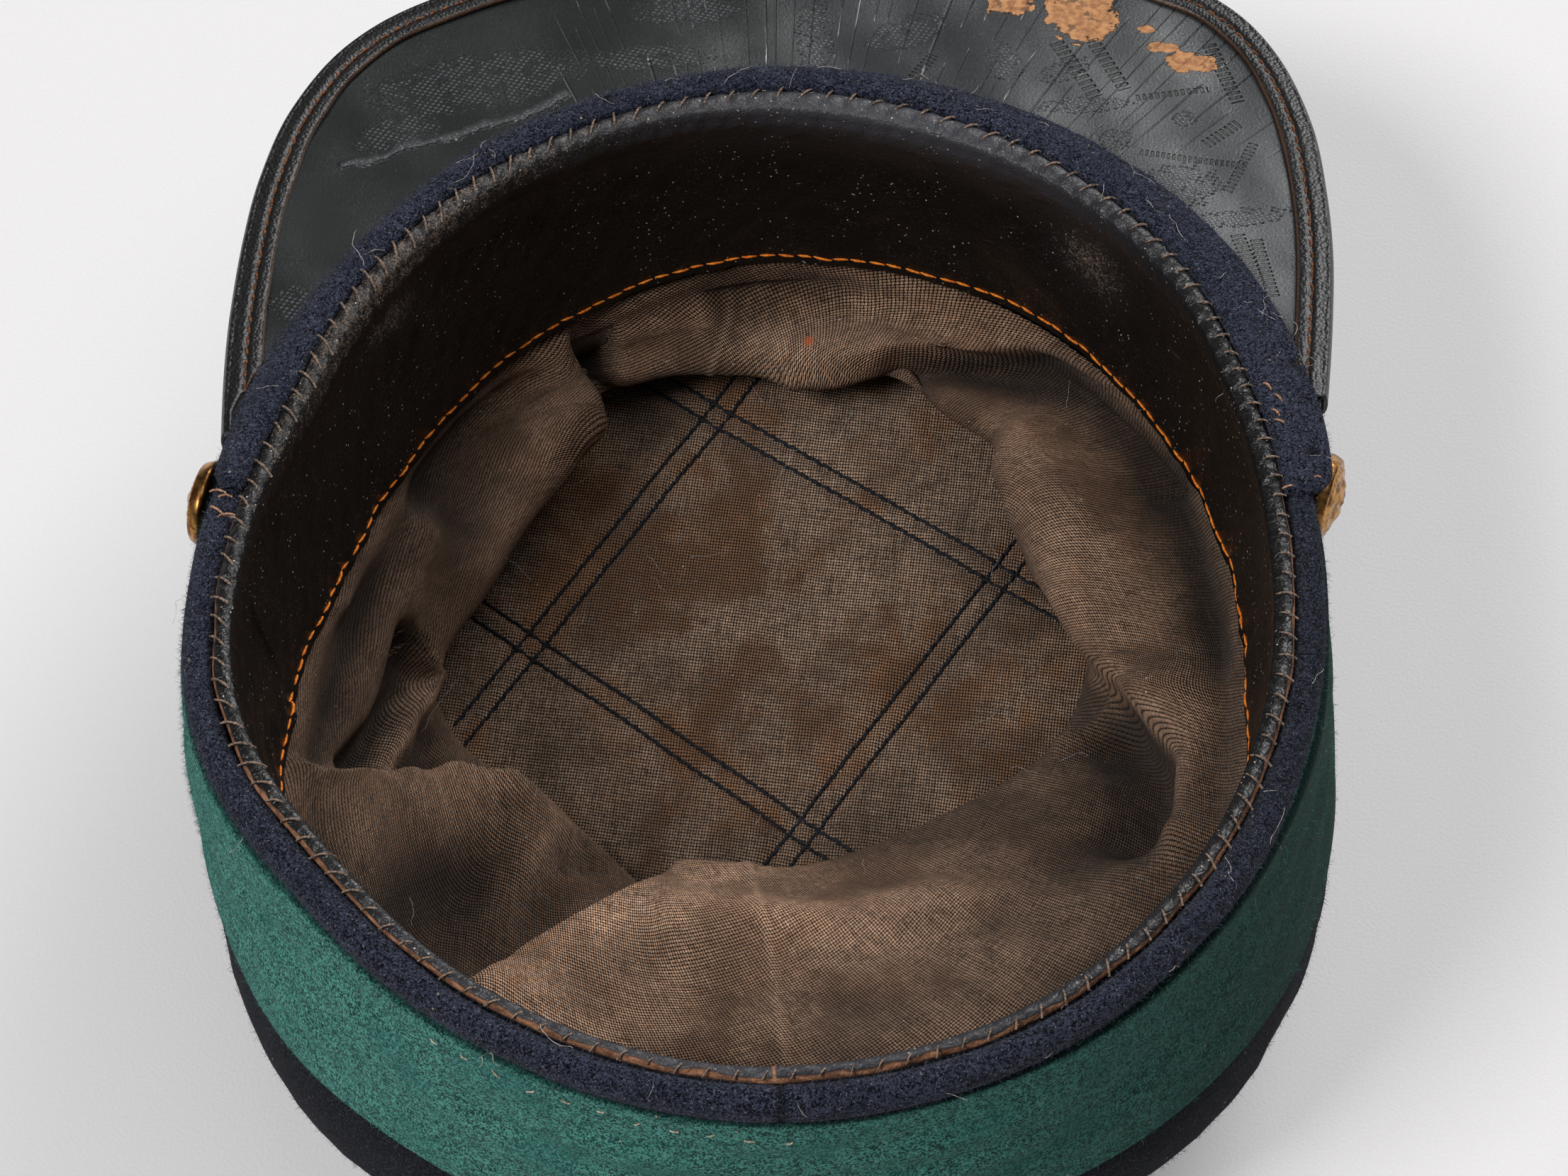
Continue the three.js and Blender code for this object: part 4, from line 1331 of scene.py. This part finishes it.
def fold_height(plan, fold):
    """How far one fold lifts the wall lining at plan points."""
    gap, side = nearest(plan, plan_route(fold["route"]))
    spread = (fold["left"] * (1 + side) + fold["right"] * (1 - side)) / 2
    return fold["height"] * np.exp(-(gap / spread)**2)


def kept_inside(sheet, angle):
    """The lining, drawn in where it would go through the band or the crown's wall."""
    a = angle[:, :1]
    depths = np.linspace(SWEAT_DEPTH - 8, BASE_DEPTH, 5) + 0 * a
    band = rim_point(a, base_radius(a, depths) - BASE_THICKNESS, depths)
    falls = np.linspace(0.02, 1, 40) + 0 * a
    wall = np.concatenate([band, crown_sheet(a + 0 * falls, falls)], 1)
    out = outward(a)
    reach = (wall * out).sum(-1) - LINING_THICKNESS - 0.6
    reach[:, depths.shape[1]:] -= CROWN_THICKNESS
    limit = [np.interp(own[:, 2], line[::-1, 2], far[::-1])
             for own, line, far in zip(sheet, wall, reach)]
    back = np.maximum((sheet * out).sum(-1) - np.array(limit), 0)
    return sheet - out * back[..., None]


def lining_lift(plan, sheet, angle, t):
    """How far folds, valleys, rolls and small crumples lift the wall lining."""
    folds = sum(fold_height(plan, fold) for fold in LINING_FOLDS)
    crumple = ripple(sheet, 18, 31) * 0.3 + ripple(sheet, 7, 32) * 0.05
    valley = column(CRESTS, "valley", angle) * np.exp(-((t - 0.11) / 0.07)**2)
    roll = column(CRESTS, "roll", angle) * np.exp(-((t - 0.4) / 0.08)**2)
    return folds + roll - valley + crumple


def lining_side():
    """The loose lining of the wall, with its folds, pockets and seams, and painted light and
    shade.
    """
    down = np.concatenate([np.linspace(0, 0.6, 96), np.linspace(0.64, 1, 9)])
    angle, t = np.meshgrid(angles_round(), down, indexing="ij")
    sheet = lining_rows(angle, t)
    chart = round_and_down(shell(sheet, -LINING_THICKNESS))
    plan = sheet[..., :2]
    seam = np.zeros(t.shape)
    for row in LINING_SEAMS:
        gap, _ = nearest(plan, plan_route(row["route"]))
        seam = np.maximum(seam, np.exp(-(gap / 0.7)**2))
    shown = np.clip((0.56 - t) / 0.08, 0, 1) * np.clip(t / 0.12, 0, 1)
    lift = (lining_lift(plan, sheet, angle, t) + 0.5 * seam) * shown
    sheet = sheet + grid_normals(sheet) * lift[..., None]
    sheet = kept_inside(sheet, angle)
    sheet[..., 2] = np.maximum(sheet[..., 2], TIP_LINING_TOP + 0.4)
    rings = shell(sheet, -LINING_THICKNESS)
    # painted shade: darker on the left and right walls, and a little at the front
    sides = rises(angle, (1, 357, 32), (0.75, 196, 30), (0.25, 268, 26))
    dark = np.minimum(sides, 1)
    spot = polar(math.radians(260), 49)
    masks = {"seam": seam * shown, "nap": shown}
    # painted highlight on the crests, weaker on the shaded sides, and lighter on the back wall;
    # painted shade in the valleys and on the sides
    masks["ridge"] = np.clip(lift / 8, 0, 1) * (1 - 0.8 * dark) + rises(angle, (0.22, 86, 34))
    masks["hollow"] = np.clip(0.25 - lift / 5 + sides, 0, 1 + 0.14 * dark) * shown
    masks["stain"] = np.exp(-(np.linalg.norm(plan - spot, axis=-1) / 0.8)**4)
    masks = {name: on_shell(mask, rings) for name, mask in masks.items()}
    return body("lining_side_cloth", rings, True, LINING, masks, chart)


# ----------------------------------------------------------------------- the sweatband

WHIP_STITCHES = 140
RIM_LENGTH = 562.0
SWEAT_COLUMNS = 1400
ORANGE_DEPTH = 40.6
LIP_ROWS = 13


def upright_stitches(angle):
    """1 on the right, where the whip stitches stand straight across the leather."""
    return near_angle(angle, 190, 42)


def stitch_in(angle):
    """How far in from the rim the middles of the whip stitches lie."""
    return 0.85 - 0.95 * near_angle(angle, 90, 60)


def puffed(angle, share, across):
    """0 on a whip stitch and 1 between two. The stitches slant across the leather."""
    slant = 0.7 - 0.6 * upright_stitches(angle)
    slanted = share + (across + stitch_in(angle)) * slant / RIM_LENGTH
    return (0.5 - 0.5 * np.cos(TURN * WHIP_STITCHES * slanted))**0.7


def lip_width(angle):
    """How far the leather's rolled top stands in from the rim."""
    return 2.7 + rises(angle, (1.3, 258, 26), (0.5, 205, 30), (-1.45, 84, 60))


def sweat_face(angle, share, depth):
    """Radius of the sweatband's face below its rolled top."""
    soft = 4.6 + rises(angle, (3.5, 256, 26))
    bulge = lip_width(angle) * np.exp(-(np.maximum(depth - 2.2, 0) / soft)**2)
    flat = np.stack([angle * 85, depth + 0 * angle], -1)
    uneven = ripple(flat, 24, 51) * 0.35 + ripple(flat, 7, 52) * 0.12
    groove = 0.25 * np.exp(-((depth - ORANGE_DEPTH) / 0.6)**2)
    pucker = 0.3 * puffed(angle, share, -1.4) * np.exp(-((depth - 3.0) / 1.6)**2)
    face = sweat_radius(angle, depth) - bulge - pucker + groove
    return face - uneven * np.clip(depth / 8, 0, 1)


LIP_EDGE = 0.45
LAP_ANGLE = 92


def lap(angle):
    """Extra height where the leather's end lies over its start, at the back."""
    past = np.degrees(angle) - LAP_ANGLE
    return 0.45 * (past > 0) * np.exp(-(past / 8)**2)


def lip_height(angle, share, across):
    """Height of the leather's top, from its cut edge to where it turns down."""
    inward = lip_width(angle)
    middle, half = (LIP_EDGE - inward) / 2, (LIP_EDGE + inward) / 2
    arch = np.clip(1 - ((across - middle) / (half + 0.25))**2, 0, 1)
    strong = 0.25 + rises(angle, (0.55, 208, 34), (0.5, 320, 50), (-0.15, 265, 25))
    wrinkles = 0.1 * wander(angle, 190, 64)
    high = 1 - rises(angle, (0.45, 82, 55))
    puff = strong * high * puffed(angle, share, across)
    return 0.15 + (0.75 * high + puff + wrinkles + lap(angle)) * arch


def sweat_masks(a, sections, lip):
    """Where the sweatband is cut and worn, and where it has dust and a painted sheen. lip
    is its top's first section.
    """
    down = np.array([depth + 0 * a for _, depth in sections]).T
    cut = np.zeros(down.shape)
    cut[:, lip - 3:lip] = 1
    cut[np.abs(np.degrees(a) - LAP_ANGLE + 0.1) < 0.2, lip:lip + LIP_ROWS] = 1
    a = a[:, None]
    worn = rises(a, (0.75, 315, 36)) * np.exp(-((down - 1) / 5)**2)
    worn = worn + rises(a, (1, 316, 5)) * np.exp(-((down - 11) / 4)**2)
    worn = worn + rises(a, (0.95, 234, 5)) * np.exp(-((down - 17) / 8)**2)
    worn = worn + 0.2 * np.exp(-(np.maximum(down, 0) / 1.5)**2)
    # dust and painted sheen: on the roll at the front and on the top at the back
    dust_and_painted_sheen = rises(a, (1, 256, 27)) * np.exp(-((down - 2) / 7)**2)
    dust_and_painted_sheen = dust_and_painted_sheen + rises(a, (0.7, 88, 34)) * (down < 2)
    return {"cut": cut, "worn": np.clip(worn, 0, 1) * (1 - cut), "dust_and_painted_sheen": dust_and_painted_sheen * (1 - cut)}


def sweatband():
    """The leather band inside the rim. Its cut edge lies on the navy roll."""
    a, share = round_rim(SWEAT_COLUMNS)
    rim = column(WALLS, "rim", a)
    inward = lip_width(a)
    raw = 0.1 + rises(a, (0.12, 75, 50)) + 0.08 * wander(a, 20, 61)
    raw = np.clip(raw + 0.2 * wander(a, 90, 62), 0.06, 1.1)
    edge = LIP_EDGE + 0.15 * wander(a, 40, 63) + rises(a, (0.1, 85, 65))
    sections = [(sweat_radius(a, d) + SWEAT_THICKNESS, d) for d in (SWEAT_DEPTH, 28, 14, 5)]
    sections += [(rim + 0.5, 2.4), (rim + edge - 0.1, 1.2), (rim + edge, 0.7)]
    sections.append((rim + edge + 0.1, 0.5 - 0.35 * raw))
    sections.append((rim + edge - raw * 0.7, 0.0 - 0.4 * raw))
    lip = len(sections)
    for part in np.linspace(0.06, 1, LIP_ROWS):
        across = (edge - raw * 0.7) * (1 - part) - inward * part
        height = lip_height(a, share, across)
        sections.append((rim + across, -height - 0.25 * raw * (1 - part)))
    depths = np.concatenate([np.linspace(0.9, 9, 18), np.linspace(10.2, SWEAT_DEPTH - 0.4, 24)])
    top_radius, _ = sections[-1]
    for depth in depths:
        blend = np.clip((depth - 0.4) / 1.8, 0, 1)
        face = sweat_face(a, share, depth)
        sections.append((top_radius + (face - top_radius) * blend - 0.2 * (1 - blend), depth))
    sections.append((sweat_face(a, share, SWEAT_DEPTH) + 0.3, SWEAT_DEPTH))
    masks = sweat_masks(a, sections, lip)
    return body("sweatband_leather", rim_rings(a, sections), True, SWEAT, masks)


# ---------------------------------------------------------------------------- the peak


def peak_plate():
    """The peak, whose visible face is its lacquered underside."""
    angle, inner, outer = peak_sections(420)
    share = np.linspace(0, 1, 90)[None, :, None]
    plan = inner[:, None] + (outer - inner)[:, None] * share
    sag = ripple(plan, 60, 71) * 0.35 + ripple(plan, 18, 72) * 0.1
    face = raised(plan, PEAK_TOP + sag - 0.1)
    under = face[:, ::-6].copy()
    under[..., 2] -= PEAK_THICKNESS
    rings = np.concatenate([face, under], 1)
    chart = closing(looped(rings))[..., :2]
    return body("peak_leather_plate", to_hat(rings), False, PEAK, None, chart)


def along_edge(outer, inner):
    """Directions straight out of the peak's edge, in the rim's plane."""
    along = unit(np.gradient(outer, axis=0))
    out = np.stack([along[:, 1], -along[:, 0]], 1)
    return out * np.sign(((outer - inner) * out).sum(1))[:, None]


def binding_leg(angle, inner, outer):
    """How far the binding reaches in over the peak."""
    covered = column(WALLS, "facing", angle) - ROLL_WIDTH + 0.4
    return np.clip(np.linalg.norm(outer - inner, axis=1) - covered, 0.8, BINDING_WIDTH)


BINDING_SPARE = 0.02
BINDING_SEAM = 2.6
BINDING_PITCH = 2.4


def peak_binding():
    """Leather folded over the peak's edge, drawn down along its stitches."""
    angle, inner, outer = peak_sections(1000, BINDING_SPARE)
    out = along_edge(outer, inner)
    leg = binding_leg(angle, inner, outer)
    puff = PEAK_THICKNESS / 2 + BINDING_THICKNESS + 0.25
    middle = PEAK_TOP - PEAK_THICKNESS / 2
    under = middle - PEAK_THICKNESS / 2 - 0.2
    uneven = wander(angle, 40, 81) * 0.15
    profile = [(-leg + uneven, PEAK_TOP + 0.15), (-leg + uneven + 0.15, PEAK_TOP + 0.75)]
    for part in np.linspace(0.1, 0.98, 16):
        place = -leg * (1 - part)
        seam = 0.35 * np.exp(-((place + BINDING_SEAM) / 0.45)**2)
        swell = 0.2 * math.sin(math.pi * part)
        profile.append((place, PEAK_TOP + BINDING_THICKNESS + swell - seam))
    for turn in np.linspace(math.pi / 2 - 0.25, -math.pi / 2, 14):
        profile.append((1.1 * math.cos(turn), middle + puff * math.sin(turn)))
    profile += [(-leg, middle - puff), (-leg, under), (0.2, under), (0.2, PEAK_TOP + 0.15)]
    rings = [raised(outer + out * (place + 0 * leg)[:, None], height)
             for place, height in profile]
    rings = np.stack(rings, 1)
    cut = np.zeros(rings.shape[:2])
    cut[:, :2] = 1
    return body("peak_binding_leather", to_hat(rings), False, BINDING, {"cut": cut})


def peak_facing():
    """The navy strip that covers the peak's seam, rounded along both edges."""
    share = np.linspace(0, 1, 700)
    angle = FACING_ENDS[0] + (FACING_ENDS[1] - FACING_ENDS[0]) * share
    rim = column(WALLS, "rim", angle)
    from_end = np.minimum(share, 1 - share)
    corner = 1 - np.clip(from_end / 0.02, 0, 1)
    width = column(WALLS, "facing", angle) * (0.5 + 0.5 * np.sqrt(1 - corner**2))
    ends = np.clip(from_end / 0.006, 0, 1)**0.5
    height = (FACING_THICKNESS + 0.1 + wander(angle, 12, 91) * 0.2) * (0.3 + 0.7 * ends)
    across = np.linspace(0, 1, 26)
    sections = []
    for part in across:
        out = rim + 0.5 + (width - 0.5) * part
        arch = (4 * part * (1 - part))**0.35
        seat = -SEWN_GAP + (0.7 + SEWN_GAP) * np.clip((out - rim - ROLL_WIDTH + 1) / 2.5, 0, 1)
        bumps = ripple(polar(angle, out), 7, 92) * 0.12
        sections.append((out, seat - height * arch - bumps))
    sections += [(rim + width - 0.2, 0.7), (rim + ROLL_WIDTH, 0.6), (rim + 1.0, 0.3)]
    rings = rim_rings(angle, sections)
    nap = np.ones(rings.shape[:2])
    nap[:, len(across):] = 0
    holes = np.zeros(rings.shape[:2])
    place = np.linspace(0, 1, len(sections))[None] * width[:, None]
    for at, out, size in FACING_HOLES:
        gap = (turn_from(angle, at) * rim)[:, None]
        spot = gap**2 + (place - out * width[:, None])**2
        holes = np.maximum(holes, np.exp(-spot / size**2))
    rings = rings - aim_to_hat(UP) * (holes * 0.8)[..., None]
    masks = {"nap": nap * (1 - holes), "shade": holes * 0.9}
    return body("peak_facing_cloth", rings, False, NAVY, masks)


# ------------------------------------------------------------------------- the buttons


def button_height(out, around):
    """Face of a button: a smooth rim, a ring of beads and a five-leaved flower."""
    dome = 0.9 + 3.2 * np.sqrt(np.clip(1 - out**2, 0, 1))
    rim = 0.5 * np.exp(-((out - 0.9) / 0.06)**2)
    beads = 0.2 * np.exp(-((out - 0.72) / 0.05)**2) * (0.5 + 0.5 * np.cos(30 * around))
    leaf = 0.5 + 0.5 * np.cos(5 * around)
    flower = 0.4 * np.exp(-((out - 0.36) / 0.15)**2) * leaf**0.7
    eye = 0.5 * np.exp(-(out / 0.13)**2)
    return dome + rim + beads + flower + eye


def button(row):
    """A brass button on its shank, facing out of the band."""
    around = angles_round(120)[:, None]
    face = np.linspace(0.005, 0.97, 44)
    x = np.concatenate([[0.01, 0.2, 0.2, 0.75], [0.93, 0.99, 1.0], face[::-1]])
    back = np.array([0, 0, 0.15, 0.15, 0.3, 0.8, 1.2])[None] + 0 * around
    height = np.concatenate([back, button_height(face[::-1], around)], 1)
    height[:, 2:] += row["shank"]
    # painted shade: the mask low is set on the back and the shank
    low = np.clip(1.6 + row["shank"] - height, 0, 1) + 0 * x
    local = raised(polar(around, x * BUTTON_RADIUS), height)
    at = np.array(math.radians(row["angle"]))
    place = rim_point(at, band_radius(at, row["depth"]) + SHANK_GAP, row["depth"])
    side = np.sign(math.cos(at))
    facing = unit(aim_to_hat(np.array((side, math.tan(math.radians(row["turn"])), 0.0))))
    up = unit(np.cross(facing, (0.0, 1.0, 0.0)))
    across = np.cross(up, facing)
    rings = place + local[..., :1] * across + local[..., 1:2] * up + local[..., 2:] * facing
    return body(row["name"] + "_brass", rings, True, BRASS, {"low": low})


# --------------------------------------------------------------------------- threads


def route_object(lines, outs, closed=False, varied=None):
    """Polylines, in millimetres, as one mesh of edges that knows which way is out."""
    points, edges, start = [], [], 0
    for line in lines:
        count = len(line)
        points.append(line)
        edges += [(start + k, start + k + 1) for k in range(count - 1)]
        if closed:
            edges.append((start + count - 1, start))
        start += count
    mesh = bpy.data.meshes.new("route")
    mesh.from_pydata((np.concatenate(points) * MM).tolist(), edges, [])
    add_values(mesh, "out", np.concatenate(outs), "FLOAT_VECTOR")
    for label, values in (varied or {}).items():
        add_values(mesh, label, values)
    return linked("route", mesh)


STITCHES = stitch_grower()
FLUFF = fluff_grower()
HAIRS = hair_grower()


def stitches(name, lines, outs, thread, closed=False, varied=None, slant=0, uneven=0.2,
             **sizes):
    """A piece of stitches along routes. Sizes are in millimetres, the slant in degrees.
    What is varied along the route: slant, in radians, and short, a share of the size."""
    route = route_object(lines, outs, closed, varied)
    values = {label.capitalize(): size * MM for label, size in sizes.items()}
    values.update({"Slant": math.radians(slant), "Uneven": uneven})
    piece = grown(name, route, STITCHES, thread, **values)
    bpy.data.objects.remove(route)
    return piece


def whip_stitches():
    """Slanted stitches across the sweatband's top, all round the rim."""
    a, share = round_rim(SWEAT_COLUMNS)
    height = lip_height(a, share, -stitch_in(a)) + 0.1
    line = rim_point(a, column(WALLS, "rim", a) - stitch_in(a), -height)
    pitch = np.linalg.norm(line - np.roll(line, 1, 0), axis=1).sum() / WHIP_STITCHES
    varied = {"slant": np.radians(28 * upright_stitches(a) - 9 * near_angle(a, 0, 45)),
              "short": 0.5 * near_angle(a, 88, 45) + 0.35 * near_angle(a, 184, 40)}
    return stitches("whip_stitches", [line], [rim_aim(a, -0.1, 1.0)], GREY_BROWN, True, varied,
                    spacing=pitch, length=4.4, thickness=0.5, rise=0.65, sink=0.85,
                    slant=58, uneven=0.22)


def orange_stitches():
    """The row at the sweatband's foot."""
    a, share = round_rim(SWEAT_COLUMNS)
    radius = sweat_face(a, share, ORANGE_DEPTH)
    line = rim_point(a, radius - 0.05, ORANGE_DEPTH + 0 * a)
    return stitches("orange_stitches", [line], [rim_aim(a, -1.0, 0.25)], ORANGE, True,
                    spacing=3.2, length=3.3, thickness=0.62, rise=0.25, sink=0.35,
                    slant=-5, uneven=0.08)


def quilting():
    """Double lines of black stitches across the flat lining."""
    lines, outs = [], []
    share = np.linspace(0, 1, 160)[:, None]
    for start, end in quilt_lines():
        plan = start + (end - start) * share
        lines.append(raised(plan, tip_lining_height(plan) + 0.25))
        outs.append(np.tile((0.0, 0.0, 1.0), (len(share), 1)))
    return stitches("quilting_stitches", lines, outs, BLACK, spacing=2.25, length=2.75,
                    thickness=0.64, rise=0.28, sink=0.22, slant=6, uneven=0.06)


def binding_stitches():
    """A row of stitches along the binding, where it is wide enough for them."""
    angle, inner, outer = peak_sections(600, BINDING_SPARE)
    plan = outer - along_edge(outer, inner) * BINDING_SEAM
    line = to_hat(raised(plan, PEAK_TOP + BINDING_THICKNESS - 0.05))
    keep = binding_leg(angle, inner, outer) > BINDING_SEAM + 0.4
    line = line[keep]
    up = np.tile(aim_to_hat(UP), (len(line), 1))
    return stitches("binding_stitches", [line], [up], BROWN, spacing=BINDING_PITCH,
                    length=2.3, thickness=0.5, rise=0.22, sink=0.35, slant=4, uneven=0.25)


def basting():
    """Pale basting left in the colour band near its upper edge, at the back."""
    a = np.radians(np.linspace(62, 93, 60))
    line = rim_point(a, colour_face(a, 9.5) + 0.1, 9.5 + 0.6 * wander(a, 30, 5))
    return stitches("basting_stitches", [line], [rim_aim(a, 1.0, 0.1)], PALE, spacing=5.4,
                    length=1.8, thickness=0.36, rise=0.12, sink=0.12, uneven=0.9)


def tacks():
    """Tan stitches that hold down the ends of the facing."""
    lines, outs = [], []
    routes = (((356.2, 1.6), (355.6, 3.2), -0.8), ((353.6, 2.8), (353.0, 4.2), -0.9),
              ((187.6, 1.6), (187.4, 3.4), -0.9), ((189.0, 4.0), (188.4, 5.6), -0.9),
              ((201.4, 2.6), (199.4, 3.6), -1.6), ((197.6, 2.4), (196.2, 2.6), -1.6))
    for (a0, r0), (a1, r1), depth in routes:
        a = np.radians(np.linspace(a0, a1, 8))
        radius = column(WALLS, "rim", a) + np.linspace(r0, r1, 8)
        lines.append(rim_point(a, radius, depth + 0 * a))
        outs.append(rim_aim(a, 0.1, 1.0))
    return stitches("facing_tacks", lines, outs, TAN, spacing=2.2, length=2.2,
                    thickness=0.42, rise=0.45, sink=0.2, slant=20, uneven=0.5)


# ------------------------------------------------------------------------ put together


def placed(piece, slot, *nodes):
    """A finished piece on the hat."""
    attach(piece, "root")
    if nodes:
        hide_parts(*nodes)
    return piece


def fluffy(piece, name, fibre, density, length, lift):
    """Fibres that stand on a wool piece, as a piece of their own."""
    return grown(name, piece, FLUFF, fibre, Density=density / MM**2, Length=length * MM,
                 Width=FIBRE_WIDTH * MM, Lift=lift * MM)


def hairy(piece, name, density, length, curl, thickness=0.07):
    """Loose hairs that lie on a piece, as a piece of their own."""
    return grown(name, piece, HAIRS, GREY_HAIR, Density=density / MM**2,
                 Length=length * MM, Thickness=thickness * MM, Curl=curl * MM)


tip = placed(crown_tip(), "navy_wool", "crown_tip")
side = placed(crown_side(), "navy_wool", "crown_side")
navy = placed(base_band(), "navy_wool", "base_band")
green = placed(colour_band(), "green_wool", "colour_band")
flat_lining = placed(tip_lining(), "cotton", "tip_lining")
wall_lining = placed(lining_side(), "cotton", "lining_side")
sweat = placed(sweatband(), "sweat_leather", "sweatband")
placed(peak_plate(), "peak_leather", "peak")
placed(peak_binding(), "binding_leather", "peak_binding")
facing = placed(peak_facing(), "navy_wool", "peak_facing")
for row in BUTTONS:
    placed(button(row), "brass", row["name"])

for maker in (whip_stitches, orange_stitches, quilting, binding_stitches, basting, tacks):
    placed(maker(), "cotton")

placed(fluffy(navy, "base_band_fluff", NAVY_FIBRE, 5.0, 0.9, 0.35), "navy_wool")
placed(fluffy(facing, "facing_fluff", NAVY_FIBRE, 6.0, 0.9, 0.35), "navy_wool")
placed(fluffy(green, "colour_band_fluff", GREEN_FIBRE, 1.5, 1.2, 0.45), "green_wool")
placed(fluffy(side, "crown_fluff", NAVY_FIBRE, 0.78, 1.1, 0.4), "navy_wool")
placed(hairy(wall_lining, "lining_hairs", 0.0006, 8, 2.2, 0.05), "cotton")
placed(hairy(flat_lining, "tip_hairs", 0.0007, 8, 2.2, 0.05), "cotton")
placed(hairy(facing, "facing_hairs", 0.012, 5, 2.5), "cotton")
placed(hairy(navy, "rim_hairs", 0.006, 5, 2.5), "cotton")

# --------------------------------------------------------------- floor, light, camera

KEY_LIGHT = {"place": (1.9, 1.3, 3.0), "size": 1.1, "power": 90}
TOP_LIGHT = {"place": (-0.5, -0.1, 2.1), "size": 1.4, "power": 11}
FRONT_LIGHT = {"place": (-1.35, -2.1, 1.6), "size": 1.45, "power": 60}
SURROUND = 0.1


def soft_light(name, place, size, power):
    light = bpy.data.lights.new(name, "AREA")
    light.size = size
    light.energy = power
    lamp = linked(name, light)
    lamp.location = place
    lamp.rotation_mode = "QUATERNION"
    lamp.rotation_quaternion = (-Vector(place)).to_track_quat("-Z", "Y")


def studio():
    """A pale floor under three soft lights: behind on the left, above, in front on the right."""
    bpy.ops.mesh.primitive_plane_add(size=8, location=(0, 0, -0.0002))
    floor = bpy.context.object
    floor.name = "floor"
    floor.data.materials.append(floor_finish())
    world = bpy.data.worlds.new("studio")
    world.use_nodes = True
    walls = world.node_tree.nodes["Background"]
    walls.inputs["Color"].default_value = (0.97, 0.98, 1, 1)
    walls.inputs["Strength"].default_value = SURROUND
    bpy.context.scene.world = world
    soft_light("key", **KEY_LIGHT)
    soft_light("top", **TOP_LIGHT)
    soft_light("front", **FRONT_LIGHT)


CAMERA_DISTANCE = 750.0
CAMERA_ELEVATION = math.radians(60)
CAMERA_TARGET = Vector((-3.677, 26.841, 60.0))
VIEW_WIDTH = 252.4


def camera():
    """The hat is seen from behind and above."""
    lens = bpy.data.cameras.new("camera")
    lens.sensor_width = 36
    lens.lens = lens.sensor_width * CAMERA_DISTANCE / VIEW_WIDTH
    lens.clip_end = 20
    eye = linked("camera", lens)
    back = Vector((0, math.cos(CAMERA_ELEVATION), math.sin(CAMERA_ELEVATION)))
    eye.location = (CAMERA_TARGET + back * CAMERA_DISTANCE) * MM
    eye.rotation_mode = "QUATERNION"
    eye.rotation_quaternion = (-back).to_track_quat("-Z", "Y")
    bpy.context.scene.camera = eye


studio()
camera()
bpy.context.scene.view_settings.view_transform = "Standard"
